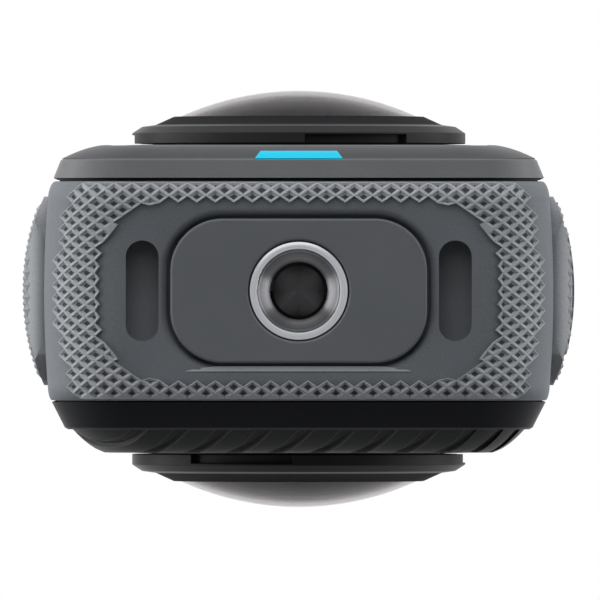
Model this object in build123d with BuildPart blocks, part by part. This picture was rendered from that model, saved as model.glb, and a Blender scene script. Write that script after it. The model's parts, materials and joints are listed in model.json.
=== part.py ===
from build123d import *
import math
import os

os.makedirs("parts", exist_ok=True)

# A pocket 360 degree camera with two back-to-back fisheye lenses, standing on the pad round its
# tripod bush. All sizes are in millimetres. +Z is up, +Y is the screen side and -Y the ribbed front.
# The origin is on the ground, under the middle of the camera, halfway between the two lens domes.

# Overall sizes
overrun = 1.0
fit_gap = 0.05
body_width = 58.8
body_depth = 25.25
body_low = 0.4
body_high = 69.2
body_corner = 9.3
side_crown = 0.45
grip_wall = 1.6
core_wall = 1.6
core_floor = 2.2
grip_lip = 1.2

# Rounding of the grip's two ends: how far it runs along Y, and how far it draws in across X and Z
back_round_run = 2.4
back_round_x = 0.9
back_round_z = 2.3
front_round_run = 1.9
front_round_x = 0.5
front_round_z = 1.8
round_steps = (0, 30, 60, 90)

# Front and back stacks, from the grip's ends outwards
front_gasket_thick = 0.2
front_bezel_thick = 3.15
front_plate_thick = 2.7
back_gasket_thick = 0.4
back_bezel_thick = 2.25
back_plate_thick = 1.55

front_stack = front_gasket_thick + front_bezel_thick + front_plate_thick
back_stack = back_gasket_thick + back_bezel_thick + back_plate_thick
face_y = (body_depth + front_stack + back_stack) / 2
grip_front_y = front_stack - face_y
grip_back_y = face_y - back_stack
body_mid_y = (grip_front_y + grip_back_y) / 2
body_mid_z = (body_low + body_high) / 2

# Bezels: half width and floor height at the grip side and at the plate side
body_half = body_width / 2
front_bezel_inset = 0.9
front_bezel_half = body_half - front_bezel_inset
front_bezel_low = 2.6
front_bezel_draw = 1.6
back_bezel_inset = 1.1
back_bezel_half = body_half - back_bezel_inset
back_bezel_low = 2.3
back_bezel_draw = 0.9
bezel_corner = 9.0
bezel_open_inset = 6.6
bezel_open_half = body_half - bezel_open_inset
bezel_open_low = 7.2
bezel_open_corner = 5.0
bezel_edge_break = 0.25
gasket_inset = 0.7
gasket_width = 1.2

# Face plates: outline at the bezel, how far the sloping edge draws in to the face, and that edge's
# profile as shares of the thickness and of the draw
plate_profile = ((0, 0), (0.35, 0.25), (0.78, 0.65), (1, 1))
plate_corner = 8.0
plate_top_draw = 0.9
front_plate_inset = 3.3
front_plate_half = body_half - front_plate_inset
front_plate_low = 5.0
front_plate_high = 67.0
front_plate_draw = 3.7
back_plate_inset = 2.1
back_plate_half = body_half - back_plate_inset
back_plate_low = 3.4
back_plate_high = 67.2
back_plate_draw = 4.5
rib_pitch = 3.4
rib_groove = 1.3
rib_depth = 0.4
rib_angle = 45
rib_count = 31

# Accent bar in the lower edge of the back plate
accent_half = 5.15
accent_end_slope = 0.75
accent_width = 1.0
accent_sink = 0.15
accent_height = 2.6

# Lens places and profiles: radii, and heights above the face plate
lens_z = 46.8
lens_dome_height = 6.65
glass_sphere = 34.5
glass_thick = 1.0
glass_radius = 13.25
ring_body_radius = 18.6
ring_radius = ring_body_radius + 0.9
ring_bevel_radius = ring_body_radius - 0.5
ring_shoulder_radius = 16.6
ring_inner_radius = 17.38
ring_low = 0.35
ring_flange_low = 1.35
ring_edge_thick = 0.15
ring_bevel_high = 2.3
ring_shoulder_high = 2.45
ring_roof = 1.8
ring_roof_radius = 13.9
grip_lug_angles = (146, 254, 38)
grip_lug_sweep = 72
socket_tail = 2.6
socket_bore = 15.0
socket_radius = 16.6
socket_flange_radius = ring_body_radius + 0.8
socket_flange_thick = 0.25
socket_high = 1.6
bayonet_lug_radius = 17.3
bayonet_lug_thick = 0.5
bayonet_lug_sweep = 60
bayonet_tab_radius = 16.68
bayonet_tab_sweep = 50
bayonet_gap = 0.15
bayonet_count = 3
seal_ring_radius = 15.8
seal_cord = 0.3
seal_cord_sides = 8
seal_groove_half = 0.4
seal_groove_roof = 2.25
fisheye_radius = 11.2
fisheye_apex = 4.9
fisheye_edge = 0.6
fisheye_back = 0.6
fisheye_hollow_radius = 8.0
fisheye_hollow_apex = 2.6
barrel_flange_radius = 14.9
barrel_flange_high = 0.5
barrel_flange_low = 3.0
barrel_collar_high = 1.1
barrel_collar_radius = 12.2
barrel_radius = 14.0
barrel_bore = 9.5
barrel_step = 8.8
barrel_tail_radius = 10.5
barrel_tail_bore = 8.9
group_front = 1.4
group_length = 9.0
group_waist = 7.4
group_groove = 0.8

# Optical chassis, sensor boards and sensors
chassis_radius = 15.3
chassis_web = 1.0
chassis_arm_height = 5.0
chassis_arm_depth = 6.0
chassis_top_arm = 7.0
sensor_board_size = 18.6
sensor_board_thick = 0.8
sensor_width = 12.8
sensor_height = 9.6
sensor_thick = 0.9

# Screen
screen_inset = 7.6
screen_half = body_half - screen_inset
screen_low = 8.3
screen_high = 26.7
screen_corner = 2.5
screen_glass_thick = 0.8
screen_recess = 0.9
display_margin = 1.3
display_thick = 1.8

# Side door and side grip panel, which share one outline
panel_rim = 1.425
panel_gap = 0.3
panel_half = body_depth / 2 - panel_rim - panel_gap
panel_low = 9.2
panel_high = 52.0
panel_corner = 5.0
panel_edge_x = body_half
panel_crown = 2.2
panel_crown_x = panel_edge_x + panel_crown
panel_end_round = 3.6
panel_seat = 0.15
door_frame = 2.2
door_open_half = panel_half - door_frame
door_open_low = 12.8
door_open_high = 38.8
door_open_corner = 2.2
plug_inset = 0.7
plug_wall = 1.3
plug_depth = 1.0
door_seal_width = 0.5
door_seal_depth = 0.7
hinge_inset_x = 1.5
knuckle_radius = 1.4
knuckle_inset = 2.0
knuckle_half = panel_half - knuckle_inset
hinge_ear_gap = 0.15
hinge_ear_thick = 1.35
hinge_ear_radius = 1.1
hinge_pin_radius = 0.6
hinge_pin_gap = 0.04
hinge_run = 0.35
hinge_bay_gap = 1.0
door_hollow_inset = 4.3
door_hollow_half = panel_half - door_hollow_inset
door_hollow_low = 28.0
door_hollow_high = 45.0
door_hollow_depth = 1.7

# Door latch: a slider in the door whose toe goes down behind a lip on the frame
latch_inset = 3.55
latch_half = panel_half - latch_inset
latch_low = 14.6
latch_high = 22.6
latch_travel = 1.6
latch_proud = 0.25
latch_crown_x = panel_crown_x + latch_proud
latch_edge_rise = 1.55
latch_edge_x = panel_edge_x + latch_edge_rise
latch_back_rise = 0.9
latch_back_x = panel_edge_x + latch_back_rise
latch_side_gap = 0.15
latch_corner = 1.6
latch_ridges = 4
latch_ridge_width = 0.5
latch_ridge_depth = 0.3
latch_stem_half = 2.4
latch_stem_low = 15.6
latch_stem_high = 20.6
latch_slide_half = 4.6
latch_slide_thick = 0.6
latch_slide_high = 21.2
toe_half = 2.6
toe_low = 10.1
toe_step = 0.7
toe_drop = 1.5
toe_thick = 0.55
toe_sink = 2.2
toe_front_x = body_half - toe_sink
strike_low = 8.3
strike_lip_high = 9.95
strike_high = 12.45
strike_depth = 1.2
strike_lip_thick = 0.5

# Pad, bush, magnets and side slots under the camera
pad_half_x = 14.75
pad_half_y = 8.3
pad_corner = 6.0
pad_gap = 0.35
pad_rim_round = 0.9
pad_edge_break = 0.3
slot_centre = 18.0
slot_width = 3.8
slot_length = 11.6
slot_depth = 2.8
bush_flange_radius = 5.75
bush_flange_thick = 1.3
bush_radius = 4.75
bush_height = 7.9
bush_recess = 0.05
bush_rim_radius = 4.95
bush_mouth_radius = 4.6
bush_mouth_depth = 1.3
thread_radius = 3.175
thread_depth = 6.9
bush_boss_wall = 1.4
magnet_centre = 10.4
magnet_half_x = 2.4
magnet_half_y = 5.2
magnet_thick = 1.6

# Battery, its tray and contacts
battery_short = 10.4
battery_low = 13.1
battery_high = 30.3
battery_gap = 0.2
battery_edge = 1.5
tray_wall = 0.8
tray_mouth_gap = 0.1
tray_side_gap = 0.225
tray_foot_radius = 1.5
tray_foot_shares = (0.22, 0.86)
tray_foot_y = 5.5
post_half = 0.7
contact_half_y = 4.5
contact_half_z = 3.0
contact_depth = 1.6
contact_pin_half = 0.5
contact_pin_pitch = 2.2
contact_pins = 4

# Port board with the charging port under one side and the card reader under the other
port_board_inset = 1.2
port_board_thick = 0.8
port_board_length = 15.0
card_inset = 1.1
card_length = 15.0
card_thick = 1.0
card_proud = 0.9
card_notch = 0.7
reader_inset = 1.4
reader_height = 1.6
reader_length = 13.6
reader_wall = 0.25
usb_half = 4.47
usb_height = 3.2
usb_length = 7.4
usb_wall = 0.3
usb_tongue_thick = 0.7
usb_tongue_half = 3.3
usb_tongue_short = 0.6

# Boards and heat path behind the ribbed plate
thermal_plate_inset = 7.4
thermal_plate_half = body_half - thermal_plate_inset
thermal_plate_low = 8.0
thermal_plate_high = 29.7
thermal_plate_thick = 0.5
shield_half_x = 9.0
shield_half_z = 8.0
shield_centre_x = 3.0
shield_centre_z = 18.5
shield_height = 1.9
shield_wall = 0.3
main_board_inset = 7.1
main_board_half = body_half - main_board_inset
main_board_low = 7.8
main_board_high = 29.4
main_board_thick = 1.0
main_board_corner = 4.6
ledge_thick = 1.4
ledge_height = 2.0
ledge_zs = (11.5, 26.8)

# Fasteners that hold the bezels to the frame
screw_inset = 4.8
screw_x = body_half - screw_inset
screw_zs = (20.0, 56.5)
screw_head_radius = 1.25
screw_head_deep = 0.9
screw_radius = 0.65
screw_length = 5.6
screw_gap = 0.08
screw_slot = 0.35
screw_boss_radius = 1.9
screw_boss_bite = 2.0

# Buttons and their switch boards
button_travel = 0.5
button_gap = 0.1
shutter_x = -12.0
shutter_length = 14.0
shutter_width = 8.0
shutter_proud = 0.5
shutter_round = 0.6
button_flange = 0.8
button_flange_thick = 0.7
switch_body = 5.2
switch_body_thick = 1.3
switch_plunger_radius = 1.3
switch_clear = 0.1
switch_board_thick = 0.8
switch_board_length = 14.0
switch_board_width = 9.0
spring_radius = 4.05
spring_wire = 0.3
spring_pitch = 0.8
switch_post_radius = 0.9
switch_post_reach = 5.9
mode_z = 37.0
mode_length = 12.0
mode_width = 6.6
mode_sink = 0.25
mode_top_x = panel_crown_x - mode_sink
mode_round = 0.5

# Speaker, microphones and status windows
speaker_low = 13.0
speaker_high = 27.0
speaker_half = 5.6
speaker_thick = 3.2
speaker_corner = 2.0
speaker_slot_length = 7.0
speaker_slot_width = 0.9
speaker_slot_pitch = 2.2
speaker_slots = 4
mic_xs = (8.0, 16.0)
mic_radius = 1.9
mic_height = 1.3
mic_port_radius = 0.5
window_inset = 8.8
window_x = body_half - window_inset
window_z = 30.4
window_radius = 0.9

# Places worked out from the sizes above
core_half = body_half - grip_wall
core_low = body_low + grip_wall
core_high = body_high - grip_wall
core_corner = body_corner - grip_wall
core_front_y = grip_front_y + grip_lip
core_back_y = grip_back_y - grip_lip
cavity_half = core_half - core_wall
cavity_low = core_low + core_floor
cavity_high = core_high - core_wall
cavity_corner = core_corner - core_wall
front_bezel_y = grip_front_y - front_gasket_thick
front_plate_y = front_bezel_y - front_bezel_thick
back_bezel_y = grip_back_y + back_gasket_thick
back_plate_y = back_bezel_y + back_bezel_thick
mount_y = body_mid_y
hinge_x = core_half + hinge_inset_x
hinge_z = panel_high - knuckle_radius
hinge_pin_half = knuckle_half + hinge_ear_gap + hinge_ear_thick
battery_length = 2 * cavity_half - battery_short
battery_x_open = -cavity_half + battery_gap * 3
battery_x_end = battery_x_open + battery_length
tray_x_open = -cavity_half + tray_mouth_gap
tray_x_end = battery_x_end + battery_gap
tray_half = (core_back_y - core_front_y) / 2 - screw_boss_bite - tray_side_gap
battery_half = tray_half - tray_wall - battery_gap
port_board_half = tray_half - port_board_inset
reader_half = port_board_half - reader_inset
card_half = reader_half - card_inset
tray_low = battery_low - battery_gap - tray_wall
tray_high = battery_high + battery_gap + tray_wall
reader_low = tray_high + fit_gap
port_board_low = reader_low + reader_height + fit_gap
usb_low = port_board_low + port_board_thick + fit_gap
port_x_open = -cavity_half + fit_gap


def facing(y):
    """The plane across the camera at depth y, with X to its right and Z up it."""
    return Plane.XZ.offset(-y)


def lens_plane(side):
    """The plane of a lens section: X is its radius and Y its height above the face plate."""
    return Plane(origin=(0, side * face_y, lens_z), x_dir=(side, 0, 0), z_dir=(0, 0, 1))


def lens_front(side, height):
    """The plane across a lens at a height above its face plate, looking in from outside."""
    return Plane(origin=(0, side * (face_y + height), lens_z), x_dir=(side, 0, 0), z_dir=(0, side, 0))


def lens_axis(side):
    """The optical axis of one lens, pointing outwards."""
    return Axis((0, side * face_y, lens_z), (0, side, 0))


def outline(half, low, high, corner):
    """A rounded outline of the housing, drawn in a sketch across the camera."""
    with Locations((0, (low + high) / 2)):
        RectangleRounded(2 * half, high - low, corner)


def sector(outer, inner, start, sweep):
    """A flat ring sector, from a start angle through a sweep."""
    with BuildSketch() as ring_piece:
        with BuildLine():
            outer_arc = CenterArc((0, 0), outer, start, sweep)
            inner_arc = CenterArc((0, 0), inner, start, sweep)
            Line(outer_arc @ 0, inner_arc @ 0)
            Line(outer_arc @ 1, inner_arc @ 1)
        make_face()
    return ring_piece.sketch


def rounded_end(y, run, draw_x, draw_z):
    """One rounded end of the grip, from depth y outwards by run."""
    with BuildPart() as end:
        for angle in round_steps:
            along = run * math.sin(math.radians(angle))
            share = 1 - math.cos(math.radians(angle))
            with BuildSketch(facing(y + along)):
                outline(
                    body_half - side_crown - draw_x * share,
                    body_low + draw_z * share,
                    body_high - draw_z * share,
                    body_corner - side_crown - draw_x * share,
                )
        loft()
    return end.part


def rounded_plate(y, thick, half, low, high, draw, shrink):
    """A face plate with a sloping edge, shrunk inwards for the floor of its ribs."""
    with BuildPart() as blank:
        for run, share in plate_profile:
            along = (thick - math.copysign(shrink, thick)) * run
            with BuildSketch(facing(y + along)):
                outline(
                    half - shrink - draw * share,
                    low + shrink + draw * share,
                    high - shrink - plate_top_draw * share,
                    plate_corner - shrink - draw * share / 2,
                )
        loft()
    return blank.part


# Grip blank: a crowned middle between two rounded ends
crown_front_y = grip_front_y + front_round_run
crown_back_y = grip_back_y - back_round_run
with BuildPart() as grip_blank:
    for section_y, crown in ((crown_front_y, side_crown), (body_mid_y, 0), (crown_back_y, side_crown)):
        with BuildSketch(facing(section_y)):
            outline(body_half - crown, body_low, body_high, body_corner - crown)
    loft()
    add(rounded_end(crown_back_y, back_round_run, back_round_x, back_round_z))
    add(rounded_end(crown_front_y, -front_round_run, front_round_x, front_round_z))

with BuildPart() as core_blank:
    with BuildSketch(facing(core_back_y)):
        outline(core_half, core_low, core_high, core_corner)
    extrude(amount=core_back_y - core_front_y)

# Grip cover: the soft outer skin, with a pocket on each side and openings for pad, slots and buttons
with BuildPart() as grip_cover:
    add(grip_blank.part)
    add(core_blank.part, mode=Mode.SUBTRACT)
    with BuildSketch(facing(grip_back_y + overrun)):
        outline(cavity_half, cavity_low, cavity_high, cavity_corner)
    extrude(amount=body_depth + 2 * overrun, mode=Mode.SUBTRACT)
    for side in (-1, 1):
        with BuildSketch(Plane.YZ.offset(side * core_half)):
            with Locations((mount_y, (panel_low + panel_high) / 2)):
                RectangleRounded(
                    2 * (panel_half + panel_gap),
                    panel_high - panel_low + 2 * panel_gap,
                    panel_corner + panel_gap,
                )
        extrude(amount=side * (grip_wall + overrun), mode=Mode.SUBTRACT)
    with BuildSketch(Plane.YZ.offset(-core_half)):
        with Locations((mount_y, hinge_z)):
            Rectangle(2 * (hinge_pin_half + panel_gap), 2 * (knuckle_radius + hinge_bay_gap))
    extrude(amount=-(grip_wall + overrun), mode=Mode.SUBTRACT)
    with BuildSketch(Plane.XY.offset(body_low - overrun)):
        with Locations((0, mount_y)):
            RectangleRounded(2 * (pad_half_x + pad_gap), 2 * (pad_half_y + pad_gap), pad_corner + pad_gap)
    extrude(amount=grip_wall + 2 * overrun, mode=Mode.SUBTRACT)
    pad_rim = grip_cover.edges().filter_by_position(Axis.Z, body_low - fit_gap, body_low + fit_gap)
    pad_rim = pad_rim.filter_by_position(Axis.X, -pad_half_x - 2 * pad_gap, pad_half_x + 2 * pad_gap)
    pad_rim = pad_rim.filter_by_position(
        Axis.Y, mount_y - pad_half_y - 2 * pad_gap, mount_y + pad_half_y + 2 * pad_gap
    )
    fillet(pad_rim, pad_rim_round)
    with BuildSketch(Plane.XY.offset(body_low - overrun)):
        with Locations((-slot_centre, mount_y), (slot_centre, mount_y)):
            SlotOverall(slot_length, slot_width, rotation=90)
    extrude(amount=grip_wall + 2 * overrun, mode=Mode.SUBTRACT)
    with BuildSketch(Plane.XY.offset(core_high - overrun)):
        with Locations((shutter_x, mount_y)):
            SlotOverall(shutter_length + 2 * button_gap, shutter_width + 2 * button_gap)
        with Locations(*[(x, mount_y) for x in mic_xs]):
            Circle(mic_port_radius)
    extrude(amount=grip_wall + 2 * overrun, mode=Mode.SUBTRACT)

# Core frame: the stiff ring inside the grip, with its openings, bosses, posts, ledges and hinge ears
with BuildPart() as core_frame:
    add(core_blank.part)
    with BuildSketch(facing(core_back_y + overrun)):
        outline(cavity_half, cavity_low, cavity_high, cavity_corner)
    extrude(amount=core_back_y - core_front_y + 2 * overrun, mode=Mode.SUBTRACT)
    for end_y, reach, sign in (
        (front_bezel_y + fit_gap, core_front_y + screw_boss_bite, 1),
        (back_bezel_y - fit_gap, core_back_y - screw_boss_bite, -1),
    ):
        with BuildSketch(facing(end_y)):
            with Locations(*[(x, z) for x in (-screw_x, screw_x) for z in screw_zs]):
                Circle(screw_boss_radius)
            with Locations((0, body_mid_z)):
                Rectangle(2 * cavity_half, body_high - body_low, mode=Mode.INTERSECT)
        extrude(amount=end_y - reach)
        with BuildSketch(facing(end_y - sign * overrun)):
            with Locations(*[(x, z) for x in (-screw_x, screw_x) for z in screw_zs]):
                Circle(screw_radius + screw_gap)
        extrude(amount=end_y - reach - sign * overrun * 2, mode=Mode.SUBTRACT)
    with BuildSketch(facing(front_bezel_y - fit_gap - (front_bezel_y - core_front_y) / 2 + ledge_thick)):
        with Locations(*[(sign * (cavity_half - ledge_height), z) for sign in (-1, 1) for z in ledge_zs]):
            Rectangle(2 * ledge_height, ledge_height)
    extrude(amount=ledge_thick)
    with BuildSketch(Plane.XY.offset(cavity_low - fit_gap)):
        with Locations((0, mount_y)):
            Circle(bush_radius + bush_boss_wall)
    extrude(amount=bush_height - cavity_low - bush_flange_thick + fit_gap)
    with BuildSketch(Plane.XY.offset(core_low - overrun)):
        with Locations((0, mount_y)):
            Circle(bush_radius + fit_gap)
    extrude(amount=bush_height + overrun, mode=Mode.SUBTRACT)
    with BuildSketch(Plane.XY.offset(core_low - overrun)):
        with Locations((-magnet_centre, mount_y), (magnet_centre, mount_y)):
            Rectangle(2 * (magnet_half_x + fit_gap), 2 * (magnet_half_y + fit_gap))
    extrude(amount=magnet_thick + fit_gap + overrun, mode=Mode.SUBTRACT)
    with BuildSketch(Plane.XY.offset(core_low - overrun)):
        with Locations((-slot_centre, mount_y), (slot_centre, mount_y)):
            SlotOverall(slot_length, slot_width, rotation=90)
    extrude(amount=slot_depth - grip_wall + overrun, mode=Mode.SUBTRACT)
    with BuildSketch(Plane.XY.offset(cavity_high - overrun)):
        with Locations((shutter_x, mount_y)):
            SlotOverall(shutter_length + 2 * button_gap, shutter_width + 2 * button_gap)
        with Locations(*[(x, mount_y) for x in mic_xs]):
            Circle(mic_port_radius)
    extrude(amount=core_wall + 2 * overrun, mode=Mode.SUBTRACT)
    with BuildSketch(Plane.YZ.offset(-core_half - overrun)):
        with Locations((mount_y, (door_open_low + door_open_high) / 2)):
            RectangleRounded(2 * door_open_half, door_open_high - door_open_low, door_open_corner)
    extrude(amount=core_wall + 2 * overrun, mode=Mode.SUBTRACT)
    with BuildSketch(Plane.YZ.offset(cavity_half - overrun)):
        with Locations((mount_y, mode_z)):
            SlotOverall(mode_length + 2 * button_gap, mode_width + 2 * button_gap, rotation=90)
        with Locations((mount_y, (speaker_low + speaker_high) / 2)):
            with GridLocations(0, speaker_slot_pitch, 1, speaker_slots):
                SlotOverall(speaker_slot_length, speaker_slot_width)
    extrude(amount=core_wall + 2 * overrun, mode=Mode.SUBTRACT)
    # the latch strike: an undercut pocket behind a lip
    with BuildSketch(Plane.YZ.offset(-core_half + strike_depth)):
        with Locations((mount_y, (strike_low + strike_high) / 2)):
            Rectangle(2 * (toe_half + latch_side_gap), strike_high - strike_low)
    extrude(amount=-(strike_depth - strike_lip_thick), mode=Mode.SUBTRACT)
    with BuildSketch(Plane.YZ.offset(-core_half + strike_depth)):
        with Locations((mount_y, (strike_lip_high + strike_high) / 2)):
            Rectangle(2 * (toe_half + latch_side_gap), strike_high - strike_lip_high)
    extrude(amount=-(strike_depth + overrun), mode=Mode.SUBTRACT)
    # hinge ears outside the wall, at both ends of the door's knuckle
    for sign in (-1, 1):
        ear_y = mount_y + sign * (knuckle_half + hinge_ear_gap)
        with BuildSketch(facing(ear_y)):
            with Locations((-hinge_x, hinge_z)):
                Circle(hinge_ear_radius)
            with Locations((-(hinge_x + core_half - fit_gap) / 2, hinge_z)):
                Rectangle(hinge_x - core_half + fit_gap, 2 * hinge_ear_radius)
        extrude(amount=-sign * hinge_ear_thick)
        with BuildSketch(facing(ear_y - sign * overrun)):
            with Locations((-hinge_x, hinge_z)):
                Circle(hinge_pin_radius + hinge_pin_gap)
        extrude(amount=-sign * (hinge_ear_thick + 2 * overrun), mode=Mode.SUBTRACT)
    # posts that carry the two switch boards
    switch_board_z = cavity_high - button_flange_thick - fit_gap - button_travel - switch_clear
    switch_board_z = switch_board_z - switch_body_thick - switch_board_thick
    with BuildSketch(Plane.XY.offset(switch_board_z + switch_board_thick)):
        with Locations(*[(shutter_x, mount_y + sign * switch_post_reach) for sign in (-1, 1)]):
            Circle(switch_post_radius)
    extrude(amount=cavity_high - switch_board_z - switch_board_thick + fit_gap)
    switch_board_x = cavity_half - button_flange_thick - fit_gap - button_travel - switch_clear
    switch_board_x = switch_board_x - switch_body_thick - switch_board_thick
    with BuildSketch(Plane.YZ.offset(switch_board_x + switch_board_thick)):
        with Locations(*[(mount_y + sign * switch_post_reach, mode_z) for sign in (-1, 1)]):
            Circle(switch_post_radius)
    extrude(amount=cavity_half - switch_board_x - switch_board_thick + fit_gap)

# Bezels: tapered frames on the front and back of the grip
bezels = {}
for name, base_y, thick, half, low, draw in (
    ("front_bezel", front_bezel_y, -front_bezel_thick, front_bezel_half, front_bezel_low, front_bezel_draw),
    ("back_bezel", back_bezel_y, back_bezel_thick, back_bezel_half, back_bezel_low, back_bezel_draw),
):
    high = body_low + body_high - low
    with BuildPart() as bezel:
        with BuildSketch(facing(base_y)):
            outline(half, low, high, bezel_corner)
        with BuildSketch(facing(base_y + thick)):
            outline(half - draw, low + draw, high - draw, bezel_corner - draw)
        loft()
        outer_face = bezel.faces().sort_by(Axis.Y)[0 if thick < 0 else -1]
        chamfer(outer_face.edges(), bezel_edge_break)
        with BuildSketch(facing(base_y + thick * 2)):
            outline(bezel_open_half, bezel_open_low, body_low + body_high - bezel_open_low, bezel_open_corner)
            with Locations((0, lens_z)):
                Circle(socket_radius + fit_gap)
        extrude(amount=thick * 3, mode=Mode.SUBTRACT)
        with BuildSketch(facing(base_y + thick)):
            with Locations(*[(x, z) for x in (-screw_x, screw_x) for z in screw_zs]):
                Circle(screw_radius + screw_gap)
        extrude(amount=thick, mode=Mode.SUBTRACT)
        with BuildSketch(facing(base_y + thick)):
            with Locations(*[(x, z) for x in (-screw_x, screw_x) for z in screw_zs]):
                Circle(screw_head_radius + screw_gap)
        extrude(amount=math.copysign(screw_head_deep, thick), mode=Mode.SUBTRACT)
    bezels[name] = bezel
front_bezel = bezels["front_bezel"]
back_bezel = bezels["back_bezel"]

# Gaskets between the grip's ends and the bezels
gaskets = {}
for name, base_y, thick, half, low in (
    ("front_gasket", grip_front_y, front_gasket_thick, front_bezel_half, front_bezel_low),
    ("back_gasket", back_bezel_y, back_gasket_thick, back_bezel_half, back_bezel_low),
):
    high = body_low + body_high - low
    with BuildPart() as gasket:
        with BuildSketch(facing(base_y)):
            outline(half - gasket_inset, low + gasket_inset, high - gasket_inset, bezel_corner - gasket_inset)
            inner = gasket_inset + gasket_width
            with Locations((0, (low + high) / 2)):
                RectangleRounded(
                    2 * (half - inner), high - low - 2 * inner, bezel_corner - inner, mode=Mode.SUBTRACT
                )
        extrude(amount=thick)
    gaskets[name] = gasket
front_gasket = gaskets["front_gasket"]
back_gasket = gaskets["back_gasket"]

# Ribbed front plate: diagonal grooves of one depth over its face and its rounded edge
front_form = (front_plate_y, -front_plate_thick, front_plate_half, front_plate_low)
front_form = front_form + (front_plate_high, front_plate_draw)
rib_floor = rounded_plate(*front_form, rib_depth)
with BuildPart() as rib_grooves:
    with BuildSketch(facing(front_plate_y)):
        with Locations(Location((0, body_mid_z), rib_angle)):
            with GridLocations(0, rib_pitch, 1, rib_count):
                Rectangle(2 * body_high, rib_groove)
    extrude(amount=front_plate_thick + overrun)
    add(rib_floor, mode=Mode.SUBTRACT)
with BuildPart() as front_plate:
    add(rounded_plate(*front_form, 0))
    add(rib_grooves.part, mode=Mode.SUBTRACT)
    with BuildSketch(facing(front_plate_y + overrun)):
        with Locations((0, lens_z)):
            Circle(socket_radius + fit_gap)
        with Locations((window_x, window_z)):
            Circle(window_radius + fit_gap)
    extrude(amount=front_plate_thick + 2 * overrun, mode=Mode.SUBTRACT)

# Back plate with the screen's recess and window, and the accent bar let into its lower edge
with BuildPart() as accent_prism:
    with BuildSketch(Plane.XY):
        with BuildLine():
            Polyline(
                (-accent_half, back_plate_y - accent_sink),
                (accent_half, back_plate_y - accent_sink),
                (accent_half - accent_end_slope, back_plate_y - accent_sink + accent_width),
                (accent_end_slope - accent_half, back_plate_y - accent_sink + accent_width),
                close=True,
            )
        make_face()
    extrude(amount=back_plate_low + accent_height)
back_plate_blank = rounded_plate(
    back_plate_y, back_plate_thick, back_plate_half, back_plate_low, back_plate_high, back_plate_draw, 0
)
with BuildPart() as accent_bar:
    with BuildSketch(facing(back_plate_y)):
        outline(back_plate_half, back_plate_low, back_plate_high, plate_corner)
    extrude(amount=accent_sink)
    add(back_plate_blank)
    add(accent_prism.part, mode=Mode.INTERSECT)
with BuildPart() as back_plate:
    add(back_plate_blank)
    add(accent_prism.part, mode=Mode.SUBTRACT)
    with BuildSketch(facing(face_y + overrun)):
        with Locations((0, lens_z)):
            Circle(socket_radius + fit_gap)
        with Locations((window_x, window_z)):
            Circle(window_radius + fit_gap)
        outline(
            screen_half - display_margin + fit_gap,
            screen_low + display_margin - fit_gap,
            screen_high - display_margin + fit_gap,
            screen_corner - display_margin,
        )
    extrude(amount=back_plate_thick + 2 * overrun, mode=Mode.SUBTRACT)
    with BuildSketch(facing(face_y + overrun)):
        outline(screen_half + fit_gap, screen_low - fit_gap, screen_high + fit_gap, screen_corner)
    extrude(amount=screen_recess + overrun, mode=Mode.SUBTRACT)
with BuildPart() as cut_back_bezel:
    add(back_bezel.part)
    add(accent_prism.part, mode=Mode.SUBTRACT)
back_bezel = cut_back_bezel

with BuildPart() as screen_glass:
    with BuildSketch(facing(face_y - screen_recess + screen_glass_thick + fit_gap)):
        outline(screen_half, screen_low, screen_high, screen_corner)
    extrude(amount=screen_glass_thick)

with BuildPart() as display_panel:
    with BuildSketch(facing(face_y - screen_recess)):
        outline(
            screen_half - display_margin,
            screen_low + display_margin,
            screen_high - display_margin,
            screen_corner - display_margin,
        )
    extrude(amount=display_thick)

# Status windows: light pipes through both plates
windows = {}
for name, inner_y, outer_y in (
    ("front_status_window", front_plate_y, -face_y + rib_depth),
    ("back_status_window", face_y, back_plate_y),
):
    with BuildPart() as window:
        with BuildSketch(facing(inner_y)):
            with Locations((window_x, window_z)):
                Circle(window_radius)
        extrude(amount=inner_y - outer_y)
    windows[name] = window

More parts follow.
